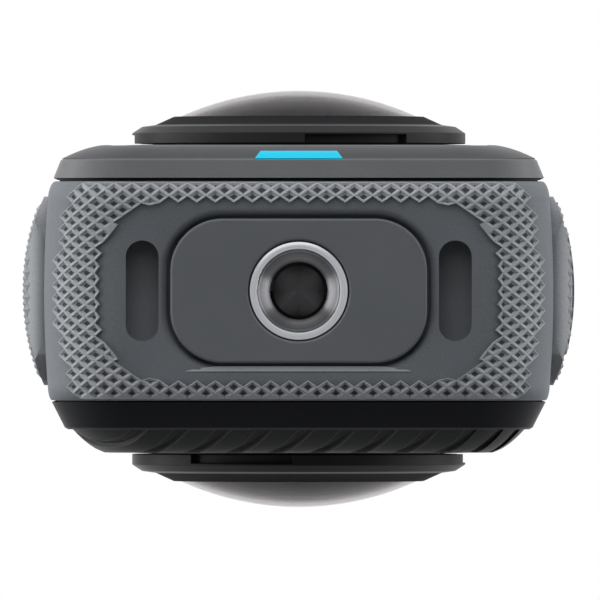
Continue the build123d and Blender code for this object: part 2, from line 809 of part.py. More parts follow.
# Lens stacks, alike on both sides and turned half round from each other
glass_centre = lens_dome_height - glass_sphere
dome_edge = glass_centre + math.sqrt(glass_sphere**2 - glass_radius**2)
glass_inner_sphere = glass_sphere - glass_thick
glass_edge_low = glass_centre + math.sqrt(glass_inner_sphere**2 - glass_radius**2)
chassis_end = face_y - barrel_flange_low
board_top_y = chassis_web / 2 + fit_gap + sensor_board_thick
barrel_end = face_y - board_top_y - fit_gap
lens_parts = {}
for lens, side in (("back", 1), ("front", -1)):
    with BuildPart() as socket:
        with BuildSketch(lens_plane(side)):
            with BuildLine():
                Polyline(
                    (socket_bore, -socket_tail),
                    (socket_radius, -socket_tail),
                    (socket_radius, 0),
                    (socket_flange_radius, 0),
                    (socket_flange_radius, socket_flange_thick),
                    (socket_radius, socket_flange_thick),
                    (socket_radius, socket_high),
                    (socket_bore, socket_high),
                    close=True,
                )
            make_face()
        revolve(axis=lens_axis(side))
        with BuildSketch(lens_front(side, socket_high - bayonet_lug_thick)):
            for step in range(bayonet_count):
                lug_start = step * 360 / bayonet_count
                add(sector(bayonet_lug_radius, socket_radius - fit_gap, lug_start, bayonet_lug_sweep))
        extrude(amount=bayonet_lug_thick)
    lens_parts[f"{lens}_lens_socket"] = socket

    with BuildPart() as cover_ring:
        with BuildSketch(lens_plane(side)):
            with BuildLine():
                Polyline(
                    (glass_radius + fit_gap, dome_edge),
                    (glass_radius + fit_gap, glass_edge_low),
                    (ring_roof_radius, ring_roof),
                    (seal_ring_radius - seal_groove_half, ring_roof),
                    (seal_ring_radius - seal_groove_half, seal_groove_roof),
                    (seal_ring_radius + seal_groove_half, seal_groove_roof),
                    (seal_ring_radius + seal_groove_half, ring_roof),
                    (ring_inner_radius, ring_roof),
                    (ring_inner_radius, ring_low),
                    (ring_body_radius, ring_low),
                    (ring_body_radius, ring_flange_low),
                    (ring_radius, ring_flange_low),
                    (ring_radius, ring_flange_low + ring_edge_thick),
                    (ring_bevel_radius, ring_bevel_high),
                    (ring_shoulder_radius, ring_shoulder_high),
                    close=True,
                )
            make_face()
        revolve(axis=lens_axis(side))
        with BuildSketch(lens_front(side, ring_low)):
            for step in range(bayonet_count):
                tab_start = step * 360 / bayonet_count + (bayonet_lug_sweep - bayonet_tab_sweep) / 2
                add(sector(ring_inner_radius + fit_gap, bayonet_tab_radius, tab_start, bayonet_tab_sweep))
        extrude(amount=socket_high - bayonet_lug_thick - bayonet_gap - ring_low)
        with BuildSketch(lens_front(side, ring_low)):
            for lug_angle in grip_lug_angles:
                lug_start = lug_angle - grip_lug_sweep / 2
                add(sector(ring_radius, ring_body_radius - fit_gap, lug_start, grip_lug_sweep))
        extrude(amount=ring_flange_low - ring_low + fit_gap)
    lens_parts[f"{lens}_cover_ring"] = cover_ring

    with BuildPart() as cover_seal:
        with BuildSketch(lens_plane(side)):
            with Locations((seal_ring_radius, socket_high + seal_cord + fit_gap / 2)):
                RegularPolygon(seal_cord, seal_cord_sides)
        revolve(axis=lens_axis(side))
    lens_parts[f"{lens}_cover_seal"] = cover_seal

    with BuildPart() as cover_glass:
        with BuildSketch(lens_plane(side)):
            with BuildLine():
                outer_mid = glass_sphere * math.sin(math.asin(glass_radius / glass_sphere) / 2)
                inner_mid = glass_inner_sphere * math.sin(math.asin(glass_radius / glass_inner_sphere) / 2)
                ThreePointArc(
                    (0, lens_dome_height),
                    (outer_mid, glass_centre + math.sqrt(glass_sphere**2 - outer_mid**2)),
                    (glass_radius, dome_edge),
                )
                Line((glass_radius, dome_edge), (glass_radius, glass_edge_low))
                ThreePointArc(
                    (glass_radius, glass_edge_low),
                    (inner_mid, glass_centre + math.sqrt(glass_inner_sphere**2 - inner_mid**2)),
                    (0, lens_dome_height - glass_thick),
                )
                Line((0, lens_dome_height - glass_thick), (0, lens_dome_height))
            make_face()
        revolve(axis=lens_axis(side))
    lens_parts[f"{lens}_cover_glass"] = cover_glass

    with BuildPart() as fisheye:
        with BuildSketch(lens_plane(side)):
            with BuildLine():
                rise = fisheye_apex - fisheye_edge
                bulge = (fisheye_radius**2 + rise**2) / (2 * rise)
                hollow_rise = fisheye_hollow_apex + fisheye_back
                hollow = (fisheye_hollow_radius**2 + hollow_rise**2) / (2 * hollow_rise)
                RadiusArc((0, fisheye_apex), (fisheye_radius, fisheye_edge), bulge)
                Polyline(
                    (fisheye_radius, fisheye_edge),
                    (fisheye_radius, -fisheye_back),
                    (fisheye_hollow_radius, -fisheye_back),
                )
                RadiusArc((fisheye_hollow_radius, -fisheye_back), (0, fisheye_hollow_apex), -hollow)
                Line((0, fisheye_hollow_apex), (0, fisheye_apex))
            make_face()
        revolve(axis=lens_axis(side))
    lens_parts[f"{lens}_fisheye_element"] = fisheye

    with BuildPart() as barrel:
        with BuildSketch(lens_plane(side)):
            with BuildLine():
                seat = fisheye_radius + fit_gap
                Polyline(
                    (seat, barrel_collar_high),
                    (barrel_collar_radius, barrel_collar_high),
                    (barrel_flange_radius, barrel_flange_high),
                    (barrel_flange_radius, -barrel_flange_low),
                    (barrel_radius, -barrel_flange_low),
                    (barrel_radius, -barrel_step),
                    (barrel_tail_radius, -barrel_step),
                    (barrel_tail_radius, -barrel_end),
                    (barrel_tail_bore, -barrel_end),
                    (barrel_tail_bore, -group_front - group_length - fit_gap),
                    (barrel_tail_bore - group_groove, -group_front - group_length - fit_gap),
                    (barrel_tail_bore - group_groove, -group_front - group_length),
                    (barrel_bore, -group_front - group_length),
                    (barrel_bore, -fisheye_back - fit_gap),
                    (seat, -fisheye_back - fit_gap),
                    close=True,
                )
            make_face()
        revolve(axis=lens_axis(side))
    lens_parts[f"{lens}_lens_barrel"] = barrel

    with BuildPart() as lens_group:
        with BuildSketch(lens_plane(side)):
            with BuildLine():
                rim = barrel_bore - fit_gap
                third = group_length / 3
                Polyline(
                    (0, -group_front),
                    (rim, -group_front),
                    (rim, -group_front - third + group_groove),
                    (group_waist, -group_front - third),
                    (rim, -group_front - third - group_groove),
                    (rim, -group_front - 2 * third + group_groove),
                    (group_waist, -group_front - 2 * third),
                    (rim, -group_front - 2 * third - group_groove),
                    (rim, -group_front - group_length + fit_gap),
                    (0, -group_front - group_length + fit_gap),
                    close=True,
                )
            make_face()
        revolve(axis=lens_axis(side))
    lens_parts[f"{lens}_lens_group"] = lens_group

    with BuildPart() as sensor_board:
        with BuildSketch(lens_front(side, board_top_y - face_y)):
            Rectangle(sensor_board_size, sensor_board_size)
        extrude(amount=-sensor_board_thick)
    lens_parts[f"{lens}_sensor_board"] = sensor_board

    with BuildPart() as image_sensor:
        with BuildSketch(lens_front(side, board_top_y - face_y + fit_gap)):
            Rectangle(sensor_width, sensor_height)
        extrude(amount=sensor_thick)
    lens_parts[f"{lens}_image_sensor"] = image_sensor

# Optical chassis: a tube with a middle web, held to the frame by side arms and a top arm
with BuildPart() as optical_chassis:
    with BuildSketch(facing(chassis_end)):
        with Locations((0, lens_z)):
            Circle(chassis_radius)
    extrude(amount=2 * chassis_end)
    with BuildSketch(facing(chassis_arm_depth / 2)):
        with Locations((0, lens_z)):
            Rectangle(2 * (cavity_half - fit_gap), chassis_arm_height)
        arm_top = cavity_high - fit_gap
        with Locations((0, (lens_z + arm_top) / 2)):
            Rectangle(chassis_top_arm, arm_top - lens_z)
    extrude(amount=chassis_arm_depth)
    with BuildSketch(facing(chassis_end + overrun)):
        with Locations((0, lens_z)):
            Circle(barrel_radius + fit_gap)
    extrude(amount=chassis_end + overrun - chassis_web / 2, mode=Mode.SUBTRACT)
    with BuildSketch(facing(-chassis_web / 2)):
        with Locations((0, lens_z)):
            Circle(barrel_radius + fit_gap)
    extrude(amount=chassis_end + overrun - chassis_web / 2, mode=Mode.SUBTRACT)

# Side grip panel and door: one crowned form, cut from three crossing outlines
panels = {}
for name, side in (("side_panel", 1), ("door_blank", -1)):
    seat_x = core_half + panel_seat
    with BuildPart() as panel:
        with BuildSketch(Plane.XY.offset(panel_low)):
            with BuildLine():
                Polyline(
                    (side * panel_edge_x, mount_y - panel_half),
                    (side * seat_x, mount_y - panel_half),
                    (side * seat_x, mount_y + panel_half),
                    (side * panel_edge_x, mount_y + panel_half),
                )
                ThreePointArc(
                    (side * panel_edge_x, mount_y + panel_half),
                    (side * panel_crown_x, mount_y),
                    (side * panel_edge_x, mount_y - panel_half),
                )
            make_face()
        extrude(amount=panel_high - panel_low)
        with BuildSketch(Plane.YZ.offset(side * seat_x)):
            with Locations((mount_y, (panel_low + panel_high) / 2)):
                RectangleRounded(2 * panel_half, panel_high - panel_low, panel_corner)
        extrude(amount=side * (panel_crown_x - seat_x), mode=Mode.INTERSECT)
        with BuildSketch(facing(mount_y + panel_half)):
            with BuildLine():
                Polyline(
                    (side * panel_edge_x, panel_low),
                    (side * seat_x, panel_low),
                    (side * seat_x, panel_high),
                    (side * panel_edge_x, panel_high),
                )
                EllipticalCenterArc(
                    (side * panel_edge_x, panel_high - panel_end_round),
                    panel_crown_x - panel_edge_x,
                    panel_end_round,
                    0 if side > 0 else 90,
                    arc_size=90,
                )
                Line(
                    (side * panel_crown_x, panel_high - panel_end_round),
                    (side * panel_crown_x, panel_low + panel_end_round),
                )
                EllipticalCenterArc(
                    (side * panel_edge_x, panel_low + panel_end_round),
                    panel_crown_x - panel_edge_x,
                    panel_end_round,
                    270 if side > 0 else 180,
                    arc_size=90,
                )
            make_face()
        extrude(amount=2 * panel_half, mode=Mode.INTERSECT)
    panels[name] = panel

with BuildPart() as side_panel:
    add(panels["side_panel"].part)
    with BuildSketch(Plane.YZ.offset(core_half - overrun)):
        with Locations((mount_y, mode_z)):
            SlotOverall(mode_length + 2 * button_gap, mode_width + 2 * button_gap, rotation=90)
        with Locations((mount_y, (speaker_low + speaker_high) / 2)):
            with GridLocations(0, speaker_slot_pitch, 1, speaker_slots):
                SlotOverall(speaker_slot_length, speaker_slot_width)
    extrude(amount=panel_crown_x - core_half + 2 * overrun, mode=Mode.SUBTRACT)

# Battery door: the crowned form with a hinge knuckle, a plug frame and room for the latch
seat_x = core_half + panel_seat
with BuildPart() as battery_door:
    add(panels["door_blank"].part)
    with BuildSketch(facing(mount_y + panel_half + overrun)):
        with Locations((-panel_crown_x, hinge_z + panel_high / 2)):
            Rectangle(2 * panel_crown_x, panel_high)
    extrude(amount=2 * (panel_half + overrun), mode=Mode.SUBTRACT)
    with BuildSketch(facing(mount_y + panel_half + overrun)):
        with Locations((-panel_crown_x, hinge_z - hinge_ear_radius - hinge_run + panel_high / 2)):
            Rectangle(2 * panel_crown_x, panel_high)
    extrude(amount=overrun + panel_half - knuckle_half, mode=Mode.SUBTRACT)
    with BuildSketch(facing(mount_y - knuckle_half)):
        with Locations((-panel_crown_x, hinge_z - hinge_ear_radius - hinge_run + panel_high / 2)):
            Rectangle(2 * panel_crown_x, panel_high)
    extrude(amount=overrun + panel_half - knuckle_half, mode=Mode.SUBTRACT)
    with BuildSketch(facing(mount_y + knuckle_half)):
        with Locations((-hinge_x, hinge_z)):
            Circle(knuckle_radius)
    extrude(amount=2 * knuckle_half)
    with BuildSketch(Plane.YZ.offset(-seat_x)):
        with Locations((mount_y, (door_open_low + door_open_high) / 2)):
            RectangleRounded(
                2 * (door_open_half - plug_inset),
                door_open_high - door_open_low - 2 * plug_inset,
                door_open_corner - plug_inset,
            )
            RectangleRounded(
                2 * (door_open_half - plug_inset - plug_wall),
                door_open_high - door_open_low - 2 * (plug_inset + plug_wall),
                door_open_corner - plug_inset,
                mode=Mode.SUBTRACT,
            )
    extrude(amount=plug_depth + panel_seat)
    with BuildSketch(Plane.YZ.offset(-seat_x)):
        with Locations((mount_y, (door_hollow_low + door_hollow_high) / 2)):
            RectangleRounded(
                2 * door_hollow_half, door_hollow_high - door_hollow_low, door_open_corner - plug_inset
            )
    extrude(amount=-door_hollow_depth, mode=Mode.SUBTRACT)
    # the latch's well outside, its slot through the door, and its slide's recess inside
    with BuildSketch(Plane.YZ.offset(-latch_back_x)):
        with Locations((mount_y, (latch_low - latch_travel + latch_high) / 2)):
            RectangleRounded(
                2 * (latch_half + latch_side_gap),
                latch_high - latch_low + latch_travel + 2 * latch_side_gap,
                latch_corner,
            )
    extrude(amount=-(latch_crown_x - latch_back_x + overrun), mode=Mode.SUBTRACT)
    with BuildSketch(Plane.YZ.offset(-core_half)):
        with Locations((mount_y, (latch_stem_low - latch_travel + latch_stem_high) / 2)):
            Rectangle(
                2 * (latch_stem_half + latch_side_gap),
                latch_stem_high - latch_stem_low + latch_travel + 2 * latch_side_gap,
            )
    extrude(amount=-(latch_crown_x - core_half), mode=Mode.SUBTRACT)
    slide_recess_low = toe_low - latch_travel - latch_side_gap
    with BuildSketch(Plane.YZ.offset(-seat_x + plug_depth + overrun)):
        with Locations((mount_y, (slide_recess_low + latch_slide_high + latch_side_gap) / 2)):
            Rectangle(
                2 * (latch_slide_half + latch_side_gap),
                latch_slide_high + latch_side_gap - slide_recess_low,
            )
    extrude(
        amount=-(plug_depth + overrun + latch_slide_thick + latch_side_gap), mode=Mode.SUBTRACT
    )
    with BuildSketch(facing(mount_y + panel_half + overrun)):
        with Locations((-hinge_x, hinge_z)):
            Circle(hinge_pin_radius + hinge_pin_gap)
    extrude(amount=2 * (panel_half + overrun), mode=Mode.SUBTRACT)

with BuildPart() as door_seal:
    with BuildSketch(Plane.YZ.offset(-seat_x + panel_seat + fit_gap)):
        with Locations((mount_y, (door_open_low + door_open_high) / 2)):
            seal_inset = plug_inset - fit_gap
            RectangleRounded(
                2 * (door_open_half - seal_inset + door_seal_width),
                door_open_high - door_open_low - 2 * (seal_inset - door_seal_width),
                door_open_corner - seal_inset + door_seal_width,
            )
            RectangleRounded(
                2 * (door_open_half - seal_inset),
                door_open_high - door_open_low - 2 * seal_inset,
                door_open_corner - seal_inset,
                mode=Mode.SUBTRACT,
            )
    extrude(amount=door_seal_depth)

with BuildPart() as door_hinge_pin:
    with BuildSketch(facing(mount_y + hinge_pin_half)):
        with Locations((-hinge_x, hinge_z)):
            Circle(hinge_pin_radius)
    extrude(amount=2 * hinge_pin_half)

# Door latch: crowned finger pad outside, stem through the door, slide plate and toe inside
with BuildPart() as door_latch:
    with BuildSketch(Plane.XY.offset(latch_low)):
        with BuildLine():
            Polyline(
                (-latch_edge_x, mount_y - latch_half),
                (-latch_back_x - fit_gap, mount_y - latch_half),
                (-latch_back_x - fit_gap, mount_y + latch_half),
                (-latch_edge_x, mount_y + latch_half),
            )
            ThreePointArc(
                (-latch_edge_x, mount_y + latch_half),
                (-latch_crown_x, mount_y),
                (-latch_edge_x, mount_y - latch_half),
            )
        make_face()
    extrude(amount=latch_high - latch_low)
    with BuildSketch(Plane.YZ.offset(-latch_back_x)):
        with Locations((mount_y, (latch_low + latch_high) / 2)):
            RectangleRounded(2 * latch_half, latch_high - latch_low, latch_corner - latch_side_gap)
    extrude(amount=-(latch_crown_x - latch_back_x + overrun), mode=Mode.INTERSECT)
    with BuildSketch(facing(mount_y + latch_half)):
        ridge_pitch = (latch_high - latch_low) / (latch_ridges + 1)
        with Locations((-latch_crown_x, (latch_low + latch_high) / 2)):
            with GridLocations(0, ridge_pitch, 1, latch_ridges):
                Rectangle(2 * latch_ridge_depth, latch_ridge_width)
    extrude(amount=2 * latch_half, mode=Mode.SUBTRACT)
    with BuildSketch(Plane.YZ.offset(-latch_back_x - fit_gap)):
        with Locations((mount_y, (latch_stem_low + latch_stem_high) / 2)):
            Rectangle(2 * latch_stem_half, latch_stem_high - latch_stem_low)
    extrude(amount=latch_back_x - seat_x + fit_gap)
    with BuildSketch(Plane.YZ.offset(-seat_x)):
        with Locations((mount_y, (toe_low + toe_step + toe_drop + latch_slide_high) / 2)):
            Rectangle(2 * latch_slide_half, latch_slide_high - toe_low - toe_step - toe_drop)
        with Locations((mount_y, toe_low + toe_drop + toe_step)):
            Rectangle(2 * toe_half, 2 * toe_step)
    extrude(amount=-latch_slide_thick)
    with BuildSketch(Plane.YZ.offset(-toe_front_x + toe_thick)):
        with Locations((mount_y, toe_low + toe_drop + toe_step / 2)):
            Rectangle(2 * toe_half, toe_step)
    extrude(amount=-(seat_x - toe_front_x + toe_thick))
    with BuildSketch(Plane.YZ.offset(-toe_front_x)):
        with Locations((mount_y, toe_low + (toe_drop + toe_step) / 2)):
            Rectangle(2 * toe_half, toe_drop + toe_step)
    extrude(amount=toe_thick)

# Pad, bush and magnets under the camera
with BuildPart() as mount_pad:
    with BuildSketch(Plane.XY):
        with Locations((0, mount_y)):
            RectangleRounded(2 * pad_half_x, 2 * pad_half_y, pad_corner)
    extrude(amount=core_low - fit_gap)
    chamfer(mount_pad.faces().sort_by(Axis.Z)[0].edges(), pad_edge_break)
    with BuildSketch(Plane.XY.offset(-overrun)):
        with Locations((0, mount_y)):
            Circle(bush_flange_radius + fit_gap)
    extrude(amount=core_low + 2 * overrun, mode=Mode.SUBTRACT)

with BuildPart() as tripod_bush:
    with BuildSketch(Plane(origin=(0, mount_y, 0), x_dir=(1, 0, 0), z_dir=(0, -1, 0))):
        with BuildLine():
            Polyline(
                (thread_radius, bush_mouth_depth + bush_recess),
                (bush_mouth_radius, bush_recess + pad_edge_break),
                (bush_rim_radius, bush_recess),
                (bush_flange_radius - pad_edge_break, bush_recess),
                (bush_flange_radius, bush_recess + pad_edge_break),
                (bush_flange_radius, core_low - fit_gap),
                (bush_radius, core_low - fit_gap),
                (bush_radius, bush_height),
                (0, bush_height),
                (0, thread_depth),
                (thread_radius, thread_depth),
                close=True,
            )
        make_face()
    revolve(axis=Axis((0, mount_y, 0), (0, 0, 1)))

with BuildPart() as mount_magnets:
    with BuildSketch(Plane.XY.offset(core_low)):
        with Locations((-magnet_centre, mount_y), (magnet_centre, mount_y)):
            Rectangle(2 * magnet_half_x, 2 * magnet_half_y)
    extrude(amount=magnet_thick)

# Battery and tray
with BuildPart() as battery:
    with BuildSketch(Plane.YZ.offset(battery_x_open)):
        with Locations((mount_y, (battery_low + battery_high) / 2)):
            RectangleRounded(2 * battery_half, battery_high - battery_low, battery_edge)
    extrude(amount=battery_length)

with BuildPart() as battery_tray:
    with BuildSketch(Plane.YZ.offset(tray_x_open)):
        with Locations((mount_y, (battery_low + battery_high) / 2)):
            RectangleRounded(2 * tray_half, tray_high - tray_low, battery_edge + tray_wall)
    extrude(amount=tray_x_end + tray_wall - tray_x_open)
    with BuildSketch(Plane.YZ.offset(tray_x_open - overrun)):
        with Locations((mount_y, (battery_low + battery_high) / 2)):
            RectangleRounded(
                2 * (battery_half + battery_gap),
                battery_high - battery_low + 2 * battery_gap,
                battery_edge + battery_gap,
            )
    extrude(amount=tray_x_end - tray_x_open + overrun, mode=Mode.SUBTRACT)
    with BuildSketch(Plane.YZ.offset(tray_x_end - overrun)):
        with Locations((mount_y, (battery_low + battery_high) / 2)):
            with GridLocations(contact_pin_pitch, 0, contact_pins, 1):
                Rectangle(2 * (contact_pin_half + fit_gap), 2 * (contact_pin_half + fit_gap))
    extrude(amount=tray_wall + 2 * overrun, mode=Mode.SUBTRACT)
    tray_span = tray_x_end - tray_x_open
    with BuildSketch(Plane.XY.offset(cavity_low + fit_gap)):
        with Locations(
            *[
                (tray_x_open + share * tray_span, mount_y + sign * tray_foot_y)
                for share in tray_foot_shares
                for sign in (-1, 1)
            ]
        ):
            Circle(tray_foot_radius)
    extrude(amount=tray_low - cavity_low)
    # posts that carry the port board beside the card reader
    with BuildSketch(Plane.XY.offset(tray_high - fit_gap)):
        with Locations(
            *[
                (x, mount_y + sign * (port_board_half - post_half))
                for x in (port_x_open + post_half, port_x_open + port_board_length - post_half)
                for sign in (-1, 1)
            ]
        ):
            Rectangle(2 * post_half, 2 * post_half)
    extrude(amount=port_board_low - tray_high)

with BuildPart() as battery_contacts:
    with BuildSketch(Plane.YZ.offset(tray_x_end + tray_wall + fit_gap)):
        with Locations((mount_y, (battery_low + battery_high) / 2)):
            Rectangle(2 * contact_half_y, 2 * contact_half_z)
    extrude(amount=contact_depth)
    with BuildSketch(Plane.YZ.offset(battery_x_end + fit_gap)):
        with Locations((mount_y, (battery_low + battery_high) / 2)):
            with GridLocations(contact_pin_pitch, 0, contact_pins, 1):
                Rectangle(2 * contact_pin_half, 2 * contact_pin_half)
    extrude(amount=tray_wall + battery_gap + fit_gap)

# Port board, card reader, card and charging port
with BuildPart() as port_board:
    with BuildSketch(Plane.XY.offset(port_board_low)):
        with Locations((port_x_open + port_board_length / 2, mount_y)):
            Rectangle(port_board_length, 2 * port_board_half)
    extrude(amount=port_board_thick)

with BuildPart() as card_reader:
    with BuildSketch(Plane.YZ.offset(port_x_open)):
        with Locations((mount_y, reader_low + reader_height / 2)):
            Rectangle(2 * reader_half, reader_height)
            Rectangle(
                2 * (reader_half - reader_wall), reader_height - 2 * reader_wall, mode=Mode.SUBTRACT
            )
    extrude(amount=reader_length)

with BuildPart() as memory_card:
    with BuildSketch(Plane.XY.offset(reader_low + reader_wall + fit_gap)):
        card_x = port_x_open - card_proud
        with BuildLine():
            Polyline(
                (card_x, mount_y - card_half),
                (card_x + card_length, mount_y - card_half),
                (card_x + card_length, mount_y + card_half - card_notch),
                (card_x + card_length / 2 + card_notch, mount_y + card_half - card_notch),
                (card_x + card_length / 2, mount_y + card_half),
                (card_x, mount_y + card_half),
                close=True,
            )
        make_face()
    extrude(amount=card_thick)

with BuildPart() as usb_port:
    with BuildSketch(Plane.YZ.offset(port_x_open)):
        with Locations((mount_y, usb_low + usb_height / 2)):
            SlotOverall(2 * usb_half, usb_height)
            SlotOverall(2 * (usb_half - usb_wall), usb_height - 2 * usb_wall, mode=Mode.SUBTRACT)
    extrude(amount=usb_length)
    with BuildSketch(Plane.YZ.offset(port_x_open + usb_length)):
        with Locations((mount_y, usb_low + usb_height / 2)):
            SlotOverall(2 * usb_half, usb_height)
    extrude(amount=-usb_wall)
    with BuildSketch(Plane.YZ.offset(port_x_open + usb_length)):
        with Locations((mount_y, usb_low + usb_height / 2)):
            Rectangle(2 * usb_tongue_half, usb_tongue_thick)
    extrude(amount=usb_tongue_short - usb_length)

# Main board, shield and thermal plate in the front opening
board_front_y = front_bezel_y - (front_bezel_y - core_front_y) / 2 - fit_gap
main_board_y = board_front_y - fit_gap
with BuildPart() as main_board:
    with BuildSketch(facing(main_board_y)):
        outline(main_board_half, main_board_low, main_board_high, main_board_corner)
    extrude(amount=main_board_thick)

shield_y = main_board_y - main_board_thick - fit_gap
with BuildPart() as processor_shield:
    with BuildSketch(facing(shield_y)):
        with Locations((shield_centre_x, shield_centre_z)):
            Rectangle(2 * shield_half_x, 2 * shield_half_z)
    extrude(amount=shield_height)
    fillet(processor_shield.edges().filter_by(Axis.Y), shield_wall * 2)
    with BuildSketch(facing(shield_y)):
        with Locations((shield_centre_x, shield_centre_z)):
            Rectangle(2 * (shield_half_x - shield_wall), 2 * (shield_half_z - shield_wall))
    extrude(amount=shield_height - shield_wall, mode=Mode.SUBTRACT)

with BuildPart() as thermal_plate:
    with BuildSketch(facing(front_plate_y + fit_gap + thermal_plate_thick)):
        outline(thermal_plate_half, thermal_plate_low, thermal_plate_high, main_board_corner)
    extrude(amount=thermal_plate_thick)
    with BuildSketch(facing(shield_y - shield_height - fit_gap)):
        with Locations((shield_centre_x, shield_centre_z)):
            Rectangle(2 * (shield_half_x - shield_wall), 2 * (shield_half_z - shield_wall))
    extrude(amount=shield_y - shield_height - fit_gap - front_plate_y - fit_gap)

# Screws through the bezels into the frame's bosses
screws = {}
for name, head_y, sign in (
    ("front_screws", front_plate_y, -1),
    ("back_screws", back_plate_y, 1),
):
    with BuildPart() as screw_set:
        for x in (-screw_x, screw_x):
            for z in screw_zs:
                with BuildSketch(facing(head_y - sign * screw_gap)):
                    with Locations((x, z)):
                        Circle(screw_head_radius)
                extrude(amount=sign * (screw_head_deep - 2 * screw_gap))
                with BuildSketch(facing(head_y - sign * screw_head_deep / 2)):
                    with Locations((x, z)):
                        Circle(screw_radius)
                extrude(amount=sign * (screw_length - screw_head_deep / 2))
                with BuildSketch(facing(head_y)):
                    with Locations((x, z)):
                        Rectangle(2 * screw_head_radius, screw_slot)
                extrude(amount=sign * screw_head_deep / 2, mode=Mode.SUBTRACT)
    screws[name] = screw_set

# Shutter button on top and mode button in the side panel
with BuildPart() as shutter_button:
    with BuildSketch(Plane.XY.offset(cavity_high - fit_gap - button_flange_thick)):
        with Locations((shutter_x, mount_y)):
            SlotOverall(shutter_length + 2 * button_flange, shutter_width + 2 * button_flange)
    extrude(amount=button_flange_thick)
    with BuildSketch(Plane.XY.offset(cavity_high - fit_gap)):
        with Locations((shutter_x, mount_y)):
            SlotOverall(shutter_length, shutter_width)
    extrude(amount=body_high + shutter_proud - cavity_high + fit_gap)
    fillet(shutter_button.faces().sort_by(Axis.Z)[-1].edges(), shutter_round)

with BuildPart() as mode_button:
    with BuildSketch(Plane.YZ.offset(cavity_half - fit_gap - button_flange_thick)):
        with Locations((mount_y, mode_z)):
            SlotOverall(mode_length + 2 * button_flange, mode_width + 2 * button_flange, rotation=90)
    extrude(amount=button_flange_thick)
    with BuildSketch(Plane.YZ.offset(cavity_half - fit_gap)):
        with Locations((mount_y, mode_z)):
            SlotOverall(mode_length, mode_width, rotation=90)
    extrude(amount=mode_top_x - cavity_half + fit_gap)
    fillet(mode_button.faces().sort_by(Axis.X)[-1].edges(), mode_round)

with BuildPart() as shutter_switch:
    with BuildSketch(Plane.XY.offset(switch_board_z - fit_gap)):
        with Locations((shutter_x, mount_y)):
            Rectangle(switch_board_width, switch_board_length)
    extrude(amount=switch_board_thick)
    with BuildSketch(Plane.XY.offset(switch_board_z + switch_board_thick - fit_gap)):
        with Locations((shutter_x, mount_y)):
            Rectangle(switch_body, switch_body)
    extrude(amount=switch_body_thick - switch_clear)
    with BuildSketch(Plane.XY.offset(switch_board_z + switch_board_thick)):
        with Locations((shutter_x, mount_y)):
            Circle(switch_plunger_radius)
    extrude(amount=switch_body_thick)

# Return spring: an open coil between the switch board and the shutter button's flange
spring_low = switch_board_z + switch_board_thick + fit_gap
spring_high = cavity_high - fit_gap - button_flange_thick - fit_gap
with BuildPart() as shutter_spring:
    with BuildLine():
        coil = Helix(
            pitch=spring_pitch,
            height=spring_high - spring_low - spring_wire,
            radius=spring_radius,
            center=(shutter_x, mount_y, spring_low + spring_wire / 2),
        )
    with BuildSketch(Plane(origin=coil @ 0, z_dir=coil % 0)):
        Rectangle(spring_wire, spring_wire)
    sweep(is_frenet=True)

with BuildPart() as mode_switch:
    with BuildSketch(Plane.YZ.offset(switch_board_x - fit_gap)):
        with Locations((mount_y, mode_z)):
            Rectangle(switch_board_length, switch_board_width)
    extrude(amount=switch_board_thick)
    with BuildSketch(Plane.YZ.offset(switch_board_x + switch_board_thick - fit_gap)):
        with Locations((mount_y, mode_z)):
            Rectangle(switch_body, switch_body)
    extrude(amount=switch_body_thick - switch_clear)
    with BuildSketch(Plane.YZ.offset(switch_board_x + switch_board_thick)):
        with Locations((mount_y, mode_z)):
            Circle(switch_plunger_radius)
    extrude(amount=switch_body_thick)

# Speaker behind the side panel's slots, and microphones under the top
with BuildPart() as speaker:
    with BuildSketch(Plane.YZ.offset(cavity_half - fit_gap)):
        with Locations((mount_y, (speaker_low + speaker_high) / 2)):
            RectangleRounded(2 * speaker_half, speaker_high - speaker_low, speaker_corner)
    extrude(amount=-speaker_thick)

with BuildPart() as microphones:
    with BuildSketch(Plane.XY.offset(cavity_high - fit_gap)):
        with Locations(*[(x, mount_y) for x in mic_xs]):
            Circle(mic_radius)
    extrude(amount=-mic_height)

pieces = {
    "grip_cover": grip_cover,
    "core_frame": core_frame,
    "front_bezel": front_bezel,
    "back_bezel": back_bezel,
    "front_gasket": front_gasket,
    "back_gasket": back_gasket,
    "front_plate": front_plate,
    "back_plate": back_plate,
    "accent_bar": accent_bar,
    "screen_glass": screen_glass,
    "display_panel": display_panel,
    "optical_chassis": optical_chassis,
    "side_panel": side_panel,
    "battery_door": battery_door,
    "door_seal": door_seal,
    "door_hinge_pin": door_hinge_pin,
    "door_latch": door_latch,
    "mount_pad": mount_pad,
    "tripod_bush": tripod_bush,
    "mount_magnets": mount_magnets,
    "battery": battery,
    "battery_tray": battery_tray,
    "battery_contacts": battery_contacts,
    "port_board": port_board,
    "card_reader": card_reader,
    "memory_card": memory_card,
    "usb_port": usb_port,
    "main_board": main_board,
    "processor_shield": processor_shield,
    "thermal_plate": thermal_plate,
    "shutter_button": shutter_button,
    "mode_button": mode_button,
    "shutter_spring": shutter_spring,
    "shutter_switch": shutter_switch,
    "mode_switch": mode_switch,
    "speaker": speaker,
    "microphones": microphones,
    **windows,
    **lens_parts,
    **screws,
}
for name, piece in pieces.items():
    piece.part.label = name
    export_step(piece.part, f"parts/{name}.step")
print(len(pieces), "pieces")
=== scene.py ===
import json
import math

